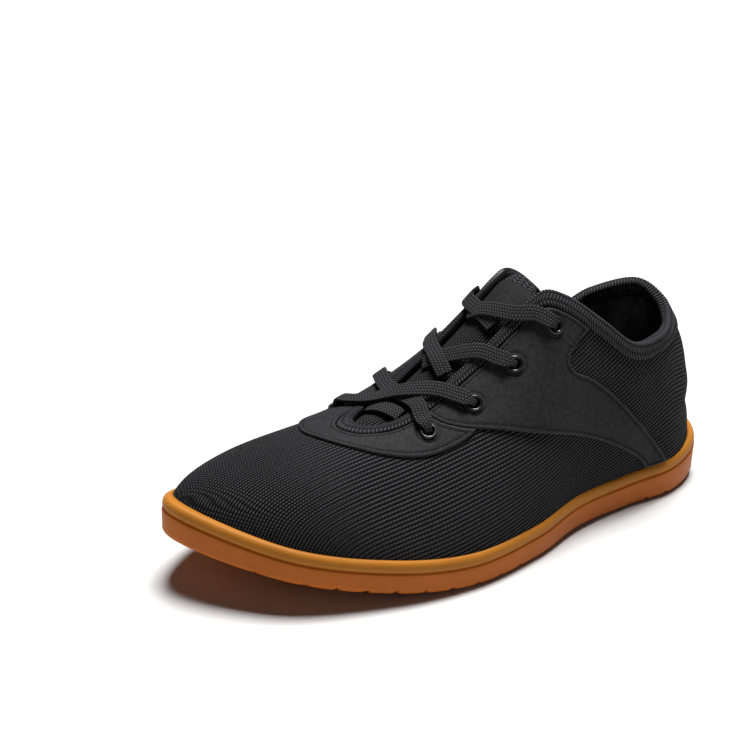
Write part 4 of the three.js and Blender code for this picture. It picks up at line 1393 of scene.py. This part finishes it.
def lace_way(side, pair, edges, starts_under, lift):
    def facing(eyelet, edge):
        top, top_out = skin(edge, 1.0)
        middle, middle_out = skin((eyelet["at"] + edge) / 2, (eyelet["high"] + 1) / 2)
        return [
            lace_seat(top, top_out, 3 * GAP + BAND_THICK),
            lace_seat(middle, middle_out, 3 * GAP + OVERLAY_THICK),
            lace_seat(eyelet["point"], eyelet["out"], 5 * GAP + OVERLAY_THICK + EYELET_FLANGE),
        ]

    start, end = eyelet_at(side, pair), eyelet_at(OTHER_SIDE[side], pair + 1)
    first, last = edges
    across = over_throat(first, last)
    if starts_under:
        begin = [across(LACE_START, tongue_top(LACE_START) + LACE_ARCH)]
    else:
        begin = facing(start, first)[::-1]
    crown = max(tongue_top(0.5), 0) + LACE_ARCH + lift
    return [*begin, across(0.5, crown), *facing(end, last)]


def smooth_way(points, steps):
    """Places along a smooth curve through points, and how many points lie behind each."""
    points = np.asarray(points, float)
    points = np.concatenate([[2 * points[0] - points[1]], points, [2 * points[-1] - points[-2]]])
    places, spans = [], []
    for k in range(1, len(points) - 2):
        t = np.linspace(0, 1, steps, endpoint=k == len(points) - 3)
        places.append(curve_part(points[k - 1:k + 3], t))
        spans.append(k - 1 + t)
    return np.concatenate(places), np.concatenate(spans)


def lace_bar(name, way, ends, replaces=()):
    """A flat woven bar along a way. ends tells, for its start and its end, if it dives in a hole."""
    points = [point for point, _ in way]
    outs = [out for _, out in way]
    for k, dives in ((0, ends[0]), (-1, ends[1])):
        if dives is None:
            continue
        hole, up = dives["point"], dives["out"]
        back = points[1 if k == 0 else -2] - hole
        back = unit(back - (back @ up) * up)
        # The bar rises over the ring's bead before it turns down into the hole.
        down = [
            hole + back * DIVE_BACK + up * DIVE_RISE,
            hole + back * DIVE_TURN + up * DIVE_DEPTH,
            hole - up * DIVE_DEPTH,
        ]
        if k == 0:
            points = down[::-1] + points[1:]
            outs = [up] * 3 + outs[1:]
        else:
            points = points[:-1] + down
            outs = outs[:-1] + [up] * 3
    path, span = smooth_way(points, 14)
    outs = np.array(outs)
    base = np.clip(span.astype(int), 0, len(outs) - 2)
    out = outs[base] + (outs[base + 1] - outs[base]) * (span - base)[:, None]
    ahead = unit(np.gradient(path, axis=0))
    # Where the bar turns down into a hole its flat side keeps facing the way it came from.
    aside = unit(np.cross(out, ahead) + 1e-9)
    for k in range(len(aside) // 2, 0, -1):
        if abs(ahead[k - 1] @ unit(out[k - 1])) > 0.75:
            aside[k - 1] = unit(aside[k] - (aside[k] @ ahead[k - 1]) * ahead[k - 1])
    for k in range(len(aside) // 2, len(aside) - 1):
        if abs(ahead[k + 1] @ unit(out[k + 1])) > 0.75:
            aside[k + 1] = unit(aside[k] - (aside[k] @ ahead[k + 1]) * ahead[k + 1])
    up = unit(np.cross(ahead, aside))
    run = np.concatenate([[0], np.cumsum(np.linalg.norm(np.diff(path, axis=0), axis=1))])
    width = np.full(len(path), LACE_WIDTH)
    thick = np.full(len(path), LACE_THICK)
    for reach, dives in ((run, ends[0]), (run[-1] - run, ends[1])):
        if dives is not None:
            narrow = 1 - smooth(reach, NARROW_AT, NARROW_FROM)
            width = width * (1 - narrow) + NARROW_WIDTH * narrow
            thick = thick * (1 - narrow) + NARROW_THICK * narrow
    section = []
    for turn in np.linspace(0, 2 * math.pi, 24, endpoint=False):
        x, y = math.cos(turn), math.sin(turn)
        section.append((math.copysign(abs(x) ** 0.35, x), math.copysign(abs(y) ** 0.6, y)))
    section = np.array(section)
    grid = path[:, None] + aside[:, None] * (width[:, None, None] / 2 * section[None, :, :1])
    grid = grid + up[:, None] * (thick[:, None, None] / 2 * section[None, :, 1:])
    rows, count = grid.shape[:2]
    i, j = np.meshgrid(np.arange(rows - 1), np.arange(count), indexing="ij")
    m = (j + 1) % count
    sides = np.stack([i * count + j, (i + 1) * count + j, (i + 1) * count + m, i * count + m], -1)
    sides = sides.reshape(-1, 4)
    tips = np.array([path[0], path[-1]])
    total = rows * count
    k = np.arange(count)
    n = (k + 1) % count
    caps = np.concatenate([
        np.stack([np.full(count, total), k, n], 1),
        np.stack([np.full(count, total + 1), (rows - 1) * count + n, (rows - 1) * count + k], 1),
    ])
    across = section[:, 0] * 0.5 + 0.5
    uv_sides = np.stack([
        np.stack([run[i], across[j]], -1), np.stack([run[i + 1], across[j]], -1),
        np.stack([run[i + 1], across[m]], -1), np.stack([run[i], across[m]], -1),
    ], 2).reshape(-1, 4, 2)
    uv_caps = np.zeros((len(caps), 3, 2))
    return add_piece(
        name, np.concatenate([grid.reshape(-1, 3), tips]), [sides, caps], [lace_cloth],
        uv=[uv_sides, uv_caps], replaces=replaces,
    )


def laces():
    for number, top_from, starts_under, top, under in CROSSINGS:
        node = f"lace_crossing_{number}"
        for place, lift in (("over", LACE_THICK - LACE_JOIN + 0.25), ("under", 0.0)):
            side = top_from if place == "over" else OTHER_SIDE[top_from]
            other = OTHER_SIDE[side]
            edges = top if place == "over" else under
            way = lace_way(side, number, edges, starts_under, lift)
            ends = (None if starts_under else eyelet_at(side, number), eyelet_at(other, number + 1))
            lace_bar(f"lace_{place}_{number}", way, ends, replaces=[node])
    across = over_throat(*START_BAR)
    places = [across(share, tongue_top(share) + LACE_ARCH / 2) for share in (0.1, 0.3, 0.5, 0.7, 0.9)]
    lace_bar("lace_start", places, (None, None), replaces=["lace_start_bar"])


laces()

# The camera of the photo, found from the outline of the sole and the opening.
VIEW_TURN = 53.686
VIEW_RISE = 23.882
VIEW_ROLL = 2.184
VIEW_DISTANCE = 844.951
VIEW_PIXELS = 730
FOCAL_PIXELS = 1831.666
AIM_ASIDE = 93.925
AIM_DOWN = 94.602
AIM_HEIGHT = 30.0


def photo_camera():
    turn, rise, roll = (math.radians(v) for v in (VIEW_TURN, VIEW_RISE, VIEW_ROLL))
    back = np.array([math.sin(turn) * math.cos(rise), -math.cos(turn) * math.cos(rise), math.sin(rise)])
    right = np.array([math.cos(turn), math.sin(turn), 0.0])
    up = np.cross(back, right)
    per_pixel = VIEW_DISTANCE / FOCAL_PIXELS
    place = np.array([0, 0, AIM_HEIGHT]) + back * VIEW_DISTANCE
    place = place - right * (AIM_ASIDE * per_pixel) + up * (AIM_DOWN * per_pixel)
    rolled_right = right * math.cos(roll) + up * math.sin(roll)
    rolled_up = up * math.cos(roll) - right * math.sin(roll)
    seen = bpy.data.cameras.new("photo_camera")
    seen.sensor_fit = "HORIZONTAL"
    seen.sensor_width = 36
    seen.lens = 36 * FOCAL_PIXELS / VIEW_PIXELS
    camera = bpy.data.objects.new("photo_camera", seen)
    bpy.context.scene.collection.objects.link(camera)
    x, y, z, p = rolled_right, rolled_up, back, to_frame(place)
    camera.matrix_world = Matrix(
        ((x[0], y[0], z[0], p[0]), (x[1], y[1], z[1], p[1]), (x[2], y[2], z[2], p[2]), (0, 0, 0, 1))
    )
    bpy.context.scene.camera = camera


def area_light(name, place, aim, size, power):
    light = bpy.data.lights.new(name, "AREA")
    light.shape = "RECTANGLE"
    light.size, light.size_y = size
    light.energy = power
    lamp = bpy.data.objects.new(name, light)
    lamp.location = place
    lamp.rotation_euler = (Vector(aim) - Vector(place)).to_track_quat("-Z", "Y").to_euler()
    bpy.context.scene.collection.objects.link(lamp)
    return lamp


def floor():
    mesh = bpy.data.meshes.new("floor")
    reach = 12.0
    mesh.from_pydata(
        [(-reach, -reach, 0), (reach, -reach, 0), (reach, reach, 0), (-reach, reach, 0)], [],
        [(0, 1, 2, 3)],
    )
    mesh.materials.append(Nodes("floor").finish((0.62, 0.62, 0.62), 0.9, gloss=0.1))
    made = bpy.data.objects.new("floor", mesh)
    bpy.context.scene.collection.objects.link(made)
    return made


def studio():
    lamps = [
        area_light("top_softbox", (-0.8, 0.8, 5.2), (0, 0, 0.05), (2.2, 2.2), 600),
        area_light("side_fill", (1.6, -0.9, 1.2), (0, 0, 0.05), (0.9, 0.9), 1.0),
    ]
    world = bpy.data.worlds.new("studio")
    world.use_nodes = True
    world.node_tree.nodes["Background"].inputs["Color"].default_value = (1, 1, 1, 1)
    world.node_tree.nodes["Background"].inputs["Strength"].default_value = 0.03
    bpy.context.scene.world = world
    floor()


photo_camera()
studio()
bpy.context.scene.view_settings.view_transform = "Standard"
